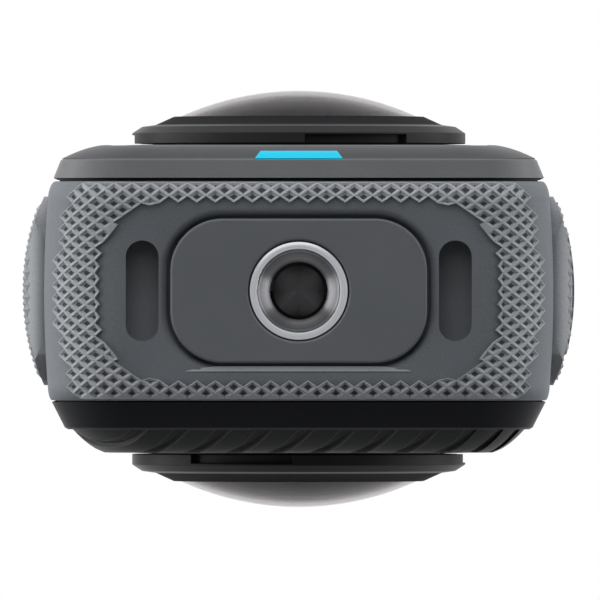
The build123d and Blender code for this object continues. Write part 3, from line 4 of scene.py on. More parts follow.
import bmesh
import bpy
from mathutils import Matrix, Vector


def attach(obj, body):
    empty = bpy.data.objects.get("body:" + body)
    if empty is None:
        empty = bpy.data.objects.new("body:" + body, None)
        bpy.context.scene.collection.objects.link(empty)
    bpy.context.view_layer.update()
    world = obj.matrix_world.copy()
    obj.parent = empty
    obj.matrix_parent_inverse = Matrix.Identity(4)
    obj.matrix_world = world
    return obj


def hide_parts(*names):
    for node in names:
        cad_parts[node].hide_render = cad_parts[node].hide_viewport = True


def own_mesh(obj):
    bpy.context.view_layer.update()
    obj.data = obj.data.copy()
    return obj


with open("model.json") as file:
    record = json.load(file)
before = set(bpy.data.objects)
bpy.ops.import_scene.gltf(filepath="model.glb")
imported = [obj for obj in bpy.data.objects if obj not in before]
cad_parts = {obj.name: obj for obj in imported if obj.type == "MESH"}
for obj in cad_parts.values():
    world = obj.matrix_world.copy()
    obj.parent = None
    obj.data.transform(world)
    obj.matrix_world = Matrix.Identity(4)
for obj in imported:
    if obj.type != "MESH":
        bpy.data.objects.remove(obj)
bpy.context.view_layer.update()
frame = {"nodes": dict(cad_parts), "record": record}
nodes = frame["nodes"]
mm = 0.001
seams = {"weldGap": 0.002, "splitAngle": 30}  # nearer corners are welded, sharper edges stay sharp
bpy.context.scene.view_settings.view_transform = "Standard"
print("frame loaded:", len(nodes), "nodes")


# Node helpers
def addNode(tree, kind, inputs=None, **settings):
    node = tree.nodes.new(kind)
    for key, value in settings.items():
        setattr(node, key, value)
    for key, value in (inputs or {}).items():
        node.inputs[key].default_value = value
    return node


def linkNodes(tree, *pairs):
    for start, end in pairs:
        tree.links.new(start, end)


def newGroup(name, inputs, outputs):
    group = bpy.data.node_groups.new(name, "ShaderNodeTree")
    for label, kind, value in inputs:
        socket = group.interface.new_socket(label, in_out="INPUT", socket_type=kind)
        if value is not None:
            socket.default_value = value
    for label, kind in outputs:
        group.interface.new_socket(label, in_out="OUTPUT", socket_type=kind)
    return group, group.nodes.new("NodeGroupInput"), group.nodes.new("NodeGroupOutput")


mixA, mixB, mixColour = 6, 7, 2  # where a Mix node keeps its two colours and its result


# Camera: straight below the pad, looking up, with the screen side at the top of the picture
cameraValues = {"place": (-0.0001445, -0.000129, -2.5), "lens": 1305.5, "sensor": 36.0}  # place in metres

bpy.ops.object.camera_add(location=cameraValues["place"], rotation=(0, math.pi, 0))
camera = bpy.context.object
camera.data.lens = cameraValues["lens"]
camera.data.sensor_width = cameraValues["sensor"]
bpy.context.scene.camera = camera


# Studio: soft boxes round the camera, a pale floor seen from above only, and a white surround
studio = {
    "aim": (0, 0, 35),  # in millimetres, as the sizes here are
    "boxSize": 700,
    "boxFar": 700,
    "boxes": {  # direction from the object, and how brightly it lights white
        "softBoxLeft": ((1, 0.1, 0.02), 1.85),
        "softBoxRight": ((-1, 0.1, 0.02), 1.4),
        "softBoxScreen": ((0.1, 1, -0.12), 1.15),
        "softBoxFront": ((0, -1, 0.1), 0.08),
        "softBoxBelow": ((0.2, 1.1, -1), 0.38),
        "softBoxAbove": ((-0.2, -0.25, 1), 0.75),
    },
    "matt": ("softBoxAbove", "softBoxScreen"),  # lights only, without a reflection
    "fill": 0.13,
    "floorSize": 3000,
    "floorColour": (0.82, 0.82, 0.83, 1),
    "floorRoughness": 0.9,
}


def addSoftBox(name, direction, level):
    far = studio["boxFar"] * mm
    toward = Vector(direction).normalized()
    place = Vector(studio["aim"]) * mm + toward * far
    turn = (-toward).to_track_quat("-Z", "Y").to_euler()
    bpy.ops.object.light_add(type="AREA", location=place, rotation=turn)
    lamp = bpy.context.object
    lamp.name = name
    lamp.data.shape = "SQUARE"
    lamp.data.size = studio["boxSize"] * mm
    lamp.data.energy = level * (math.pi * far) ** 2  # at level 1 it lights white as white
    lamp.visible_camera = False
    lamp.visible_transmission = False
    lamp.visible_glossy = name not in studio["matt"]


for boxName, (boxDirection, boxLevel) in studio["boxes"].items():
    addSoftBox(boxName, boxDirection, boxLevel)

world = bpy.data.worlds.new("studioWhite")
bpy.context.scene.world = world
world.use_nodes = True
sky = world.node_tree
skyBack = sky.nodes["Background"]
skyBack.inputs["Color"].default_value = (1, 1, 1, 1)
rays = addNode(sky, "ShaderNodeLightPath")
seen = addNode(sky, "ShaderNodeMath", operation="MAXIMUM")
seenToo = addNode(sky, "ShaderNodeMath", operation="MAXIMUM")
skyLevel = addNode(sky, "ShaderNodeMapRange", {"To Min": studio["fill"], "To Max": 1.0})
linkNodes(
    sky,
    (rays.outputs["Is Camera Ray"], seen.inputs[0]),
    (rays.outputs["Is Glossy Ray"], seen.inputs[1]),
    (seen.outputs[0], seenToo.inputs[0]),
    (rays.outputs["Is Transmission Ray"], seenToo.inputs[1]),
    (seenToo.outputs[0], skyLevel.inputs["Value"]),
    (skyLevel.outputs["Result"], skyBack.inputs["Strength"]),
)

bpy.ops.object.select_all(action="DESELECT")
bpy.ops.mesh.primitive_plane_add(size=studio["floorSize"] * mm)
floor = bpy.context.object
floor.name = "studioFloor"
floor.visible_shadow = False
floor.visible_diffuse = False
floor.visible_glossy = False
floor.visible_transmission = False
floorPaint = bpy.data.materials.new("floorPaint")
floorPaint.use_nodes = True
paint = floorPaint.node_tree
paintShader = paint.nodes["Principled BSDF"]
paintShader.inputs["Base Color"].default_value = studio["floorColour"]
paintShader.inputs["Roughness"].default_value = studio["floorRoughness"]
underside = addNode(paint, "ShaderNodeNewGeometry")
clear = addNode(paint, "ShaderNodeBsdfTransparent")
bothSides = addNode(paint, "ShaderNodeMixShader")
linkNodes(
    paint,
    (underside.outputs["Backfacing"], bothSides.inputs["Fac"]),
    (paintShader.outputs["BSDF"], bothSides.inputs[1]),
    (clear.outputs["BSDF"], bothSides.inputs[2]),
    (bothSides.outputs["Shader"], paint.nodes["Material Output"].inputs["Surface"]),
)
floor.data.materials.append(floorPaint)
print("studio ready")


# Moulded grain: fine flecks and slow patches in colour, roughness and height. Like the next two
# effects, it is built once and placed in each material with its own values
grainGroup, grainIn, grainOut = newGroup(
    "mouldedGrain",
    [
        ("Colour", "NodeSocketColor", (0.1, 0.1, 0.1, 1)),
        ("Patch", "NodeSocketFloat", 0.12),
        ("Fleck", "NodeSocketFloat", 0.1),
        ("Size", "NodeSocketFloat", 4000.0),
        ("Roughness", "NodeSocketFloat", 0.5),
        ("Spread", "NodeSocketFloat", 0.1),
    ],
    [("Colour", "NodeSocketColor"), ("Roughness", "NodeSocketFloat"), ("Height", "NodeSocketFloat")],
)
grainPlace = addNode(grainGroup, "ShaderNodeTexCoord")
grainFine = addNode(grainGroup, "ShaderNodeTexNoise", {"Detail": 3.0, "Roughness": 0.6})
grainSlow = addNode(grainGroup, "ShaderNodeTexNoise", {"Scale": 90.0, "Detail": 4.0})
patchRange = addNode(grainGroup, "ShaderNodeMapRange", {"From Min": 0.3, "From Max": 0.7, "To Min": -1.0})
fleckRange = addNode(grainGroup, "ShaderNodeMapRange", {"From Min": 0.3, "From Max": 0.7, "To Min": -1.0})
patchShare = addNode(grainGroup, "ShaderNodeMath", operation="MULTIPLY")
fleckShare = addNode(grainGroup, "ShaderNodeMath", operation="MULTIPLY_ADD")
brightness = addNode(grainGroup, "ShaderNodeMath", {1: 1.0}, operation="ADD")
tint = addNode(grainGroup, "ShaderNodeVectorMath", operation="SCALE")
roughShare = addNode(grainGroup, "ShaderNodeMath", operation="MULTIPLY_ADD")
linkNodes(
    grainGroup,
    (grainPlace.outputs["Object"], grainFine.inputs["Vector"]),
    (grainPlace.outputs["Object"], grainSlow.inputs["Vector"]),
    (grainIn.outputs["Size"], grainFine.inputs["Scale"]),
    (grainSlow.outputs[0], patchRange.inputs["Value"]),
    (grainFine.outputs[0], fleckRange.inputs["Value"]),
    (patchRange.outputs["Result"], patchShare.inputs[0]),
    (grainIn.outputs["Patch"], patchShare.inputs[1]),
    (fleckRange.outputs["Result"], fleckShare.inputs[0]),
    (grainIn.outputs["Fleck"], fleckShare.inputs[1]),
    (patchShare.outputs[0], fleckShare.inputs[2]),
    (fleckShare.outputs[0], brightness.inputs[0]),
    (grainIn.outputs["Colour"], tint.inputs[0]),
    (brightness.outputs[0], tint.inputs["Scale"]),
    (patchRange.outputs["Result"], roughShare.inputs[0]),
    (grainIn.outputs["Spread"], roughShare.inputs[1]),
    (grainIn.outputs["Roughness"], roughShare.inputs[2]),
    (tint.outputs[0], grainOut.inputs["Colour"]),
    (roughShare.outputs[0], grainOut.inputs["Roughness"]),
    (grainFine.outputs[0], grainOut.inputs["Height"]),
)

# Worn edges and painted highlights: lighter where a surface turns within a short distance. On some finishes
# this is real edge wear, and on others it is a painted edge highlight
wearHighlightGroup, wearHighlightIn, wearHighlightOut = newGroup(
    "edgeWear",
    [
        ("Colour", "NodeSocketColor", (0.1, 0.1, 0.1, 1)),
        ("Worn Colour", "NodeSocketColor", (0.3, 0.3, 0.3, 1)),
        ("Width", "NodeSocketFloat", 0.00012),
        ("Amount", "NodeSocketFloat", 0.4),
    ],
    [("Colour", "NodeSocketColor")],
)
wearHighlightRound = addNode(wearHighlightGroup, "ShaderNodeBevel", samples=4)
wearHighlightTrue = addNode(wearHighlightGroup, "ShaderNodeNewGeometry")
wearHighlightDot = addNode(wearHighlightGroup, "ShaderNodeVectorMath", operation="DOT_PRODUCT")
wearHighlightRange = addNode(wearHighlightGroup, "ShaderNodeMapRange", {"From Min": 0.995, "From Max": 0.8})
wearHighlightBreak = addNode(wearHighlightGroup, "ShaderNodeTexNoise", {"Scale": 900.0, "Detail": 2.0})
wearHighlightCoords = addNode(wearHighlightGroup, "ShaderNodeTexCoord")
wearHighlightSpots = addNode(wearHighlightGroup, "ShaderNodeMath", operation="MULTIPLY")
wearHighlightAmount = addNode(wearHighlightGroup, "ShaderNodeMath", operation="MULTIPLY", use_clamp=True)
wearHighlightMix = addNode(wearHighlightGroup, "ShaderNodeMix", data_type="RGBA")
linkNodes(
    wearHighlightGroup,
    (wearHighlightIn.outputs["Width"], wearHighlightRound.inputs["Radius"]),
    (wearHighlightRound.outputs["Normal"], wearHighlightDot.inputs[0]),
    (wearHighlightTrue.outputs["Normal"], wearHighlightDot.inputs[1]),
    (wearHighlightDot.outputs["Value"], wearHighlightRange.inputs["Value"]),
    (wearHighlightCoords.outputs["Object"], wearHighlightBreak.inputs["Vector"]),
    (wearHighlightRange.outputs["Result"], wearHighlightSpots.inputs[0]),
    (wearHighlightBreak.outputs[0], wearHighlightSpots.inputs[1]),
    (wearHighlightSpots.outputs[0], wearHighlightAmount.inputs[0]),
    (wearHighlightIn.outputs["Amount"], wearHighlightAmount.inputs[1]),
    (wearHighlightAmount.outputs[0], wearHighlightMix.inputs["Factor"]),
    (wearHighlightIn.outputs["Colour"], wearHighlightMix.inputs[mixA]),
    (wearHighlightIn.outputs["Worn Colour"], wearHighlightMix.inputs[mixB]),
    (wearHighlightMix.outputs[mixColour], wearHighlightOut.inputs["Colour"]),
)

# Turned lines: fine rings round an axis, from the distance across it
turnedGroup, turnedIn, turnedOut = newGroup(
    "turnedLines",
    [
        ("Place", "NodeSocketVector", None),
        ("Pitch", "NodeSocketFloat", 9000.0),
        ("Colour", "NodeSocketColor", (0.5, 0.5, 0.5, 1)),
        ("Contrast", "NodeSocketFloat", 0.2),
    ],
    [("Colour", "NodeSocketColor"), ("Height", "NodeSocketFloat")],
)
turnedFlat = addNode(turnedGroup, "ShaderNodeVectorMath", {1: (1, 1, 0)}, operation="MULTIPLY")
turnedFar = addNode(turnedGroup, "ShaderNodeVectorMath", operation="LENGTH")
turnedNoise = addNode(turnedGroup, "ShaderNodeTexNoise", {"Detail": 3.0}, noise_dimensions="1D")
turnedRange = addNode(turnedGroup, "ShaderNodeMapRange", {"From Min": 0.3, "From Max": 0.7, "To Min": -1.0})
turnedShare = addNode(turnedGroup, "ShaderNodeMath", {2: 1.0}, operation="MULTIPLY_ADD")
turnedTint = addNode(turnedGroup, "ShaderNodeVectorMath", operation="SCALE")
linkNodes(
    turnedGroup,
    (turnedIn.outputs["Place"], turnedFlat.inputs[0]),
    (turnedFlat.outputs[0], turnedFar.inputs[0]),
    (turnedFar.outputs["Value"], turnedNoise.inputs["W"]),
    (turnedIn.outputs["Pitch"], turnedNoise.inputs["Scale"]),
    (turnedNoise.outputs[0], turnedRange.inputs["Value"]),
    (turnedRange.outputs["Result"], turnedShare.inputs[0]),
    (turnedIn.outputs["Contrast"], turnedShare.inputs[1]),
    (turnedIn.outputs["Colour"], turnedTint.inputs[0]),
    (turnedShare.outputs[0], turnedTint.inputs["Scale"]),
    (turnedTint.outputs[0], turnedOut.inputs["Colour"]),
    (turnedNoise.outputs[0], turnedOut.inputs["Height"]),
)


# Finishes: what a look leaves out is as here, and its lengths are in millimetres
plainLook = {
    "metallic": 0.0, "specular": 0.3, "roughness": 0.5, "spread": 0.06, "patch": 0.08, "fleck": 0.08,
    "size": 4000.0, "bump": 0.25, "bumpDeep": 0.03, "wornWidth": 0.12, "wornAmount": 0.8,
}


def newMaterial(name, look):
    look = {**plainLook, **look}
    material = bpy.data.materials.new(name)
    material.use_nodes = True
    tree = material.node_tree
    shader = tree.nodes["Principled BSDF"]
    shader.inputs["Metallic"].default_value = look["metallic"]
    shader.inputs["Specular IOR Level"].default_value = look["specular"]
    grain = addNode(tree, "ShaderNodeGroup", node_tree=grainGroup)
    grain.inputs["Colour"].default_value = (*look["colour"], 1)
    for label in ("Patch", "Fleck", "Size", "Roughness", "Spread"):
        grain.inputs[label].default_value = look[label.lower()]
    colour = grain.outputs["Colour"]
    # the lighter edge colour: real wear on some finishes, a painted edge highlight on others
    if "worn" in look:
        wearHighlight = addNode(tree, "ShaderNodeGroup", node_tree=wearHighlightGroup)
        wearHighlight.inputs["Worn Colour"].default_value = (*look["worn"], 1)
        wearHighlight.inputs["Width"].default_value = look["wornWidth"] * mm
        wearHighlight.inputs["Amount"].default_value = look["wornAmount"]
        tree.links.new(colour, wearHighlight.inputs["Colour"])
        colour = wearHighlight.outputs["Colour"]
    bump = addNode(tree, "ShaderNodeBump", {"Strength": look["bump"], "Distance": look["bumpDeep"] * mm})
    linkNodes(
        tree,
        (grain.outputs["Height"], bump.inputs["Height"]),
        (bump.outputs["Normal"], shader.inputs["Normal"]),
        (grain.outputs["Roughness"], shader.inputs["Roughness"]),
        (colour, shader.inputs["Base Color"]),
    )
    return material


looks = {
    "gripRubber": {
        "colour": (0.108, 0.117, 0.128), "roughness": 0.62, "size": 5200.0, "fleck": 0.12,
        "patch": 0.05, "bump": 0.35, "specular": 0.12,
        # its light edge colour paints a highlight round the slot and moat edges
        "worn": (0.32, 0.33, 0.34), "wornAmount": 0.4, "wornWidth": 0.1,
    },
    # painted highlight: a lighter copy of the grip rubber for the pale band along the pad's front edge
    "lipRubber": {"colour": (0.24, 0.255, 0.27), "roughness": 0.6, "specular": 0.2},
    # painted light: the grip's rubber made lighter on the knurl, for the light its ridges catch
    "knurlRubber": {
        "colour": (0.25, 0.262, 0.276), "roughness": 0.6, "size": 5200.0, "fleck": 0.12,
        "patch": 0.05, "bump": 0.3, "specular": 0.12,
    },
    # painted shade: a near-black copy of the rubber for the knurl's pit floors
    "knurlPit": {
        "colour": (0.035, 0.038, 0.042), "roughness": 0.7, "size": 5200.0, "fleck": 0.12,
        "patch": 0.05, "bump": 0.3, "specular": 0.06,
    },
    "framePlastic": {"colour": (0.14, 0.148, 0.16), "roughness": 0.6, "size": 6000.0, "specular": 0.12},
    "frontBezelBlack": {
        "colour": (0.009, 0.0095, 0.011), "roughness": 0.4, "size": 7000.0, "specular": 0.05,
        "worn": (0.05, 0.05, 0.055), "bump": 0.12,
    },
    "frontPlateBlack": {
        "colour": (0.02, 0.021, 0.021), "roughness": 0.4, "size": 6500.0, "specular": 0.05,
        # its light edge colour paints the bright highlights along the rib crests
        "worn": (0.2, 0.2, 0.21), "wornAmount": 1.0, "wornWidth": 0.09, "bump": 0.15,
    },
    "backBezelGrey": {
        "colour": (0.09, 0.092, 0.097), "roughness": 0.42, "size": 6500.0, "specular": 0.12,
        "worn": (0.26, 0.26, 0.27), "wornAmount": 0.5, "bump": 0.15,
    },
    "backPlateGrey": {
        "colour": (0.042, 0.043, 0.046), "roughness": 0.38, "size": 6500.0, "specular": 0.06,
        # its light edge colour paints the highlight along the plate's rounded top edge
        "worn": (0.24, 0.24, 0.25), "wornAmount": 0.5, "wornWidth": 0.08, "bump": 0.12,
    },
    "accentCyan": {
        "colour": (0.006, 0.37, 0.54), "roughness": 0.35, "specular": 0.06, "size": 5000.0, "patch": 0.03,
        "fleck": 0.03,
    },
    "sealRubber": {"colour": (0.012, 0.012, 0.013), "roughness": 0.75, "size": 5000.0, "specular": 0.15},
    "lensRingBlack": {
        "colour": (0.022, 0.022, 0.023), "roughness": 0.36, "size": 7000.0, "specular": 0.03,
        "worn": (0.1, 0.1, 0.105), "wornAmount": 0.5, "bump": 0.12,
    },
    "lensSocketBlack": {
        "colour": (0.012, 0.012, 0.013), "roughness": 0.6, "size": 6000.0, "specular": 0.15,
    },
    "barrelBlack": {"colour": (0.01, 0.01, 0.011), "roughness": 0.7, "size": 6000.0, "specular": 0.02},
    "boardGreen": {
        "colour": (0.02, 0.12, 0.05), "roughness": 0.4, "size": 1500.0, "fleck": 0.3, "patch": 0.2,
    },
    "sensorDark": {"colour": (0.03, 0.035, 0.06), "roughness": 0.15, "size": 3000.0},
    "chassisAlloy": {
        "colour": (0.45, 0.45, 0.46), "roughness": 0.45, "metallic": 1.0, "size": 3000.0,
        "worn": (0.7, 0.7, 0.7),
    },
    "panelRubber": {
        "colour": (0.19, 0.198, 0.21), "roughness": 0.6, "size": 5200.0, "fleck": 0.12, "bump": 0.35,
        "specular": 0.12,
    },
    "doorRubber": {
        "colour": (0.19, 0.198, 0.21), "roughness": 0.6, "size": 5200.0, "fleck": 0.14, "bump": 0.35,
        "specular": 0.12,
    },
    "latchPlastic": {
        "colour": (0.11, 0.115, 0.12), "roughness": 0.45, "size": 6000.0, "worn": (0.3, 0.3, 0.31),
    },
    "padPlastic": {
        "colour": (0.098, 0.104, 0.114), "roughness": 0.5, "size": 6500.0, "fleck": 0.06, "patch": 0.04,
        "bump": 0.2, "specular": 0.14,
    },
    "magnetNickel": {"colour": (0.6, 0.58, 0.55), "roughness": 0.25, "metallic": 1.0},
    "batteryWrap": {"colour": (0.03, 0.03, 0.035), "roughness": 0.4, "size": 2500.0},
    "contactBrass": {"colour": (0.75, 0.5, 0.18), "roughness": 0.3, "metallic": 1.0, "size": 3000.0},
    "cardBlack": {"colour": (0.02, 0.02, 0.022), "roughness": 0.45},
    "shellSteel": {"colour": (0.5, 0.5, 0.5), "roughness": 0.32, "metallic": 1.0, "size": 3000.0},
    "heatAlloy": {"colour": (0.55, 0.54, 0.52), "roughness": 0.4, "metallic": 1.0, "size": 2500.0},
    "buttonRubber": {
        "colour": (0.06, 0.062, 0.066), "roughness": 0.55, "size": 5500.0, "worn": (0.16, 0.16, 0.17),
    },
    "pupilRim": {"colour": (0.6, 0.58, 0.55), "roughness": 0.3, "size": 5000.0, "specular": 0.4},
    "screenGlass": {
        "colour": (0.006, 0.006, 0.007), "roughness": 0.06, "spread": 0.01, "patch": 0.05, "specular": 0.5,
        "bump": 0.01,
    },
    "display": {"colour": (0.02, 0.02, 0.024), "roughness": 0.3, "fleck": 0.02},
    "switchPlastic": {"colour": (0.05, 0.05, 0.05), "roughness": 0.5},
    "fastenerSteel": {"colour": (0.35, 0.35, 0.36), "roughness": 0.3, "metallic": 1.0, "size": 3500.0},
}
materials = {name: newMaterial(name, look) for name, look in looks.items()}


# Coated lens glass, which turns pale at its rim as a painted reflection and highlight, and the clear light
# windows
def newGlass(name, look):
    material = newMaterial(name, look)
    shader = material.node_tree.nodes["Principled BSDF"]
    shader.inputs["Transmission Weight"].default_value = look["clear"]
    shader.inputs["IOR"].default_value = look["ior"]
    return material


glassLooks = {
    "coverGlass": {
        "colour": (0.32, 0.36, 0.34), "roughness": 0.02, "spread": 0.005, "clear": 1.0, "ior": 1.09,
        "patch": 0.02, "fleck": 0.01, "bump": 0.01, "specular": 0.5, "rim": (0.42, 0.35, 0.37),
    },
    "elementGlass": {
        "colour": (0.016, 0.02, 0.018), "roughness": 0.04, "spread": 0.005, "clear": 0.0, "ior": 1.3,
        "patch": 0.02, "fleck": 0.01, "bump": 0.01, "specular": 0.5, "rim": (0.04, 0.045, 0.042),
    },
    "coatedRed": {
        "colour": (0.2, 0.016, 0.02), "roughness": 0.12, "spread": 0.02, "clear": 0.0, "ior": 1.5,
        # its pale rim colour is a painted highlight along the red cap's outline
        "patch": 0.05, "fleck": 0.03, "bump": 0.01, "specular": 0.5, "rim": (0.9, 0.75, 0.7),
    },
    "windowClear": {"colour": (0.3, 0.31, 0.31), "roughness": 0.1, "clear": 0.8, "ior": 1.46, "bump": 0.05},
}


def addRimReflection(material, rim):
    # painted reflection: towards grazing angles the colour turns to the rim colour, standing for the tinted
    # reflection of a coated lens, and on the red pupil cap for a highlight along its outline
    tree = material.node_tree
    shader = tree.nodes["Principled BSDF"]
    body = shader.inputs["Base Color"].links[0].from_socket
    weight = addNode(tree, "ShaderNodeLayerWeight", {"Blend": 0.35})
    mix = addNode(tree, "ShaderNodeMix", {mixB: (*rim, 1)}, data_type="RGBA")
    linkNodes(
        tree,
        (weight.outputs["Facing"], mix.inputs["Factor"]),
        (body, mix.inputs[mixA]),
        (mix.outputs[mixColour], shader.inputs["Base Color"]),
    )


for glassName, glassLook in glassLooks.items():
    materials[glassName] = newGlass(glassName, glassLook)
    if "rim" in glassLook:
        addRimReflection(materials[glassName], glassLook["rim"])



# Turned steel for the tripod bush: bright rings on the rim, with painted shade that makes the steel darker
# down the mouth and into the hole
bushFinish = {
    "centre": (0, 0.925, 0), "pitch": 14000.0, "contrast": 0.16, "bump": 0.25, "bumpDeep": 0.02,
    # the mouth and deep colours are painted shade, darkening the steel with depth into the hole
    "rim": (0.36, 0.37, 0.39), "mouth": (0.1, 0.1, 0.105), "deep": (0.035, 0.035, 0.037),
    "mouthFrom": 0.25, "mouthTo": 0.7, "deepFrom": 1.2, "deepTo": 2.2,
}

bushSteel = newMaterial("bushSteel", {"colour": (0.62, 0.63, 0.64), "roughness": 0.3, "metallic": 1.0})
bushTree = bushSteel.node_tree
bushShader = bushTree.nodes["Principled BSDF"]
bushPlace = addNode(bushTree, "ShaderNodeTexCoord")
bushMap = addNode(bushTree, "ShaderNodeMapping")
bushMap.inputs["Location"].default_value = [-value * mm for value in bushFinish["centre"]]
bushLines = addNode(bushTree, "ShaderNodeGroup", node_tree=turnedGroup)
bushLines.inputs["Pitch"].default_value = bushFinish["pitch"]
bushLines.inputs["Contrast"].default_value = bushFinish["contrast"]
bushDeep = addNode(bushTree, "ShaderNodeSeparateXYZ")
mouthShadeRange, deepShadeRange = (
    addNode(
        bushTree,
        "ShaderNodeMapRange",
        {"From Min": bushFinish[zone + "From"] * mm, "From Max": bushFinish[zone + "To"] * mm},
    )
    for zone in ("mouth", "deep")
)
mouthShadeMix = addNode(
    bushTree,
    "ShaderNodeMix",
    {mixA: (*bushFinish["rim"], 1), mixB: (*bushFinish["mouth"], 1)},
    data_type="RGBA",
)
deepShadeMix = addNode(bushTree, "ShaderNodeMix", {mixB: (*bushFinish["deep"], 1)}, data_type="RGBA")
bushBump = addNode(
    bushTree, "ShaderNodeBump", {"Strength": bushFinish["bump"], "Distance": bushFinish["bumpDeep"] * mm}
)
linkNodes(
    bushTree,
    (bushPlace.outputs["Object"], bushMap.inputs["Vector"]),
    (bushMap.outputs["Vector"], bushLines.inputs["Place"]),
    (bushMap.outputs["Vector"], bushDeep.inputs["Vector"]),
    (bushDeep.outputs["Z"], mouthShadeRange.inputs["Value"]),
    (mouthShadeRange.outputs["Result"], mouthShadeMix.inputs["Factor"]),
    (bushDeep.outputs["Z"], deepShadeRange.inputs["Value"]),
    (deepShadeRange.outputs["Result"], deepShadeMix.inputs["Factor"]),
    (mouthShadeMix.outputs[mixColour], deepShadeMix.inputs[mixA]),
    (deepShadeMix.outputs[mixColour], bushLines.inputs["Colour"]),
    (bushLines.outputs["Colour"], bushShader.inputs["Base Color"]),
    (bushLines.outputs["Height"], bushBump.inputs["Height"]),
    (bushBump.outputs["Normal"], bushShader.inputs["Normal"]),
)
materials["bushSteel"] = bushSteel
print("materials ready:", len(materials))


# The finish of each CAD node, by the record's material slots
def finishOf(slotName):
    first, *rest = slotName.split("_")
    return materials[first + "".join(word.title() for word in rest)]


for subpart in frame["record"]["subparts"]:
    node = nodes[subpart["node"]]
    finish = finishOf(subpart["material_slot"])
    if not node.material_slots:
        node.data.materials.append(finish)
    for slot in node.material_slots:
        slot.material = finish
    for polygon in node.data.polygons:
        polygon.use_smooth = True
    weld = node.modifiers.new("weldSeams", "WELD")
    weld.merge_threshold = seams["weldGap"] * mm
    split = node.modifiers.new("sharpEdges", "EDGE_SPLIT")
    split.split_angle = math.radians(seams["splitAngle"])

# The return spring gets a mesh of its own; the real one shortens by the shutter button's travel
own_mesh(nodes["shutter_spring"])
print("CAD nodes dressed")


# Modelling helpers: a piece starts in edit mode, and finishPiece ends it
def startPiece(addPrimitive, name, **values):
    bpy.ops.object.select_all(action="DESELECT")
    addPrimitive(**values)
    piece = bpy.context.object
    piece.name = name
    piece.data.name = name
    bpy.ops.object.mode_set(mode="EDIT")
    return piece


def pickFaces(piece, wanted):
    bpy.ops.mesh.select_all(action="DESELECT")
    bpy.ops.mesh.select_mode(type="FACE")
    shape = bmesh.from_edit_mesh(piece.data)
    for face in shape.faces:
        face.select_set(wanted(face))
    shape.select_flush_mode()
    bmesh.update_edit_mesh(piece.data)


def moveCorners(piece, place):
    shape = bmesh.from_edit_mesh(piece.data)
    for corner in shape.verts:
        corner.co = place(corner.co)
    shape.normal_update()
    bmesh.update_edit_mesh(piece.data)


def finishPiece(piece, body, slotName, finish=None, smoothAngle=seams["splitAngle"]):
    bpy.ops.mesh.select_all(action="SELECT")
    bpy.ops.mesh.normals_make_consistent(inside=False)
    bpy.ops.object.mode_set(mode="OBJECT")
    bpy.ops.object.transform_apply(location=True, rotation=True, scale=True)
    bpy.ops.object.shade_smooth_by_angle(angle=math.radians(smoothAngle))
    piece.data.materials.clear()
    piece.data.materials.append(finish or finishOf(slotName))
    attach(piece, body)
    return piece


def paintFaces(piece, indices, material):
    piece.data.materials.append(material)
    for index in indices:
        piece.data.polygons[index].material_index = len(piece.data.materials) - 1


def applyModifier(piece, kind, **settings):
    modifier = piece.modifiers.new(kind.lower(), kind)
    for key, value in settings.items():
        setattr(modifier, key, value)
    bpy.ops.object.modifier_apply(modifier=modifier.name)


def outlineGap(x, y, centre, half, corner):
    # how far a point lies outside a rounded outline, negative inside it
    across = abs(x - centre[0]) - half[0] + corner
    along = abs(y - centre[1]) - half[1] + corner
    return math.hypot(max(across, 0), max(along, 0)) + min(max(across, along), 0) - corner


def keepOutside(point, centre, half, corner):
    # a point inside a rounded outline moves out to its nearest side or corner arc
    gap = outlineGap(point.x, point.y, centre, half, corner)
    if gap >= 0:
        return point
    step = 0.01
    slope = Vector((
        outlineGap(point.x + step, point.y, centre, half, corner) - gap,
        outlineGap(point.x, point.y + step, centre, half, corner) - gap,
    ))
    return Vector((*(point.xy - slope.normalized() * gap), 0))


# Knurl: a sheet of diamonds, cut to its zone, wrapped over its form and thickened
def knurlSheet(name, sheet, inZone, wrap, flipped):
    columns, rows = sheet["columns"], sheet["rows"]
    piece = startPiece(
        bpy.ops.mesh.primitive_grid_add, name, x_subdivisions=columns, y_subdivisions=rows, size=1
    )
    size = (columns * sheet["across"], rows * sheet["along"], 1)
    bpy.ops.transform.resize(value=size, center_override=(0, 0, 0))
    bpy.ops.transform.translate(value=(*sheet["centre"], 0))
    bpy.ops.mesh.poke()
    bpy.ops.mesh.tris_convert_to_quads(face_threshold=math.pi, shape_threshold=math.pi)
    pickFaces(piece, lambda face: len(face.verts) < 4 or not inZone(*face.calc_center_median().xy))
    bpy.ops.mesh.delete(type="FACE")
    moveCorners(piece, wrap)
    bpy.ops.mesh.select_all(action="SELECT")
    if flipped:
        bpy.ops.mesh.flip_normals()
    bpy.ops.mesh.extrude_region_shrink_fatten(TRANSFORM_OT_shrink_fatten={"value": sheet["proud"] * mm})
    return piece


# Grip knurl: one sheet round the bottom and one round the top, each diamond with a pit whose floor is
# painted dark as shade
gripForm = {
    "straight": 20.1, "middle": 0.925, "low": 0.4, "high": 69.2, "corner": 9.3, "crown": 0.45,
    "frontEnd": -11.7, "backEnd": 13.55, "endGap": 0.4,
    "frontRound": (1.9, 0.5, 1.8), "backRound": (2.4, 0.9, 2.3),
}


def gripSection(y):
    # the skin's lowest height and its corner radius at one depth
    if y > gripForm["middle"]:
        run, drawX, drawZ = gripForm["backRound"]
        reach, along = gripForm["backEnd"] - gripForm["middle"] - run, y - gripForm["middle"]
    else:
        run, drawX, drawZ = gripForm["frontRound"]
        reach, along = gripForm["middle"] - gripForm["frontEnd"] - run, gripForm["middle"] - y
    share = 1 - math.sqrt(max(0, 1 - (max(0, along - reach) / run) ** 2))
    crown = gripForm["crown"] * min(1, along / reach) ** 2
    return gripForm["low"] + drawZ * share, gripForm["corner"] - crown - drawX * share


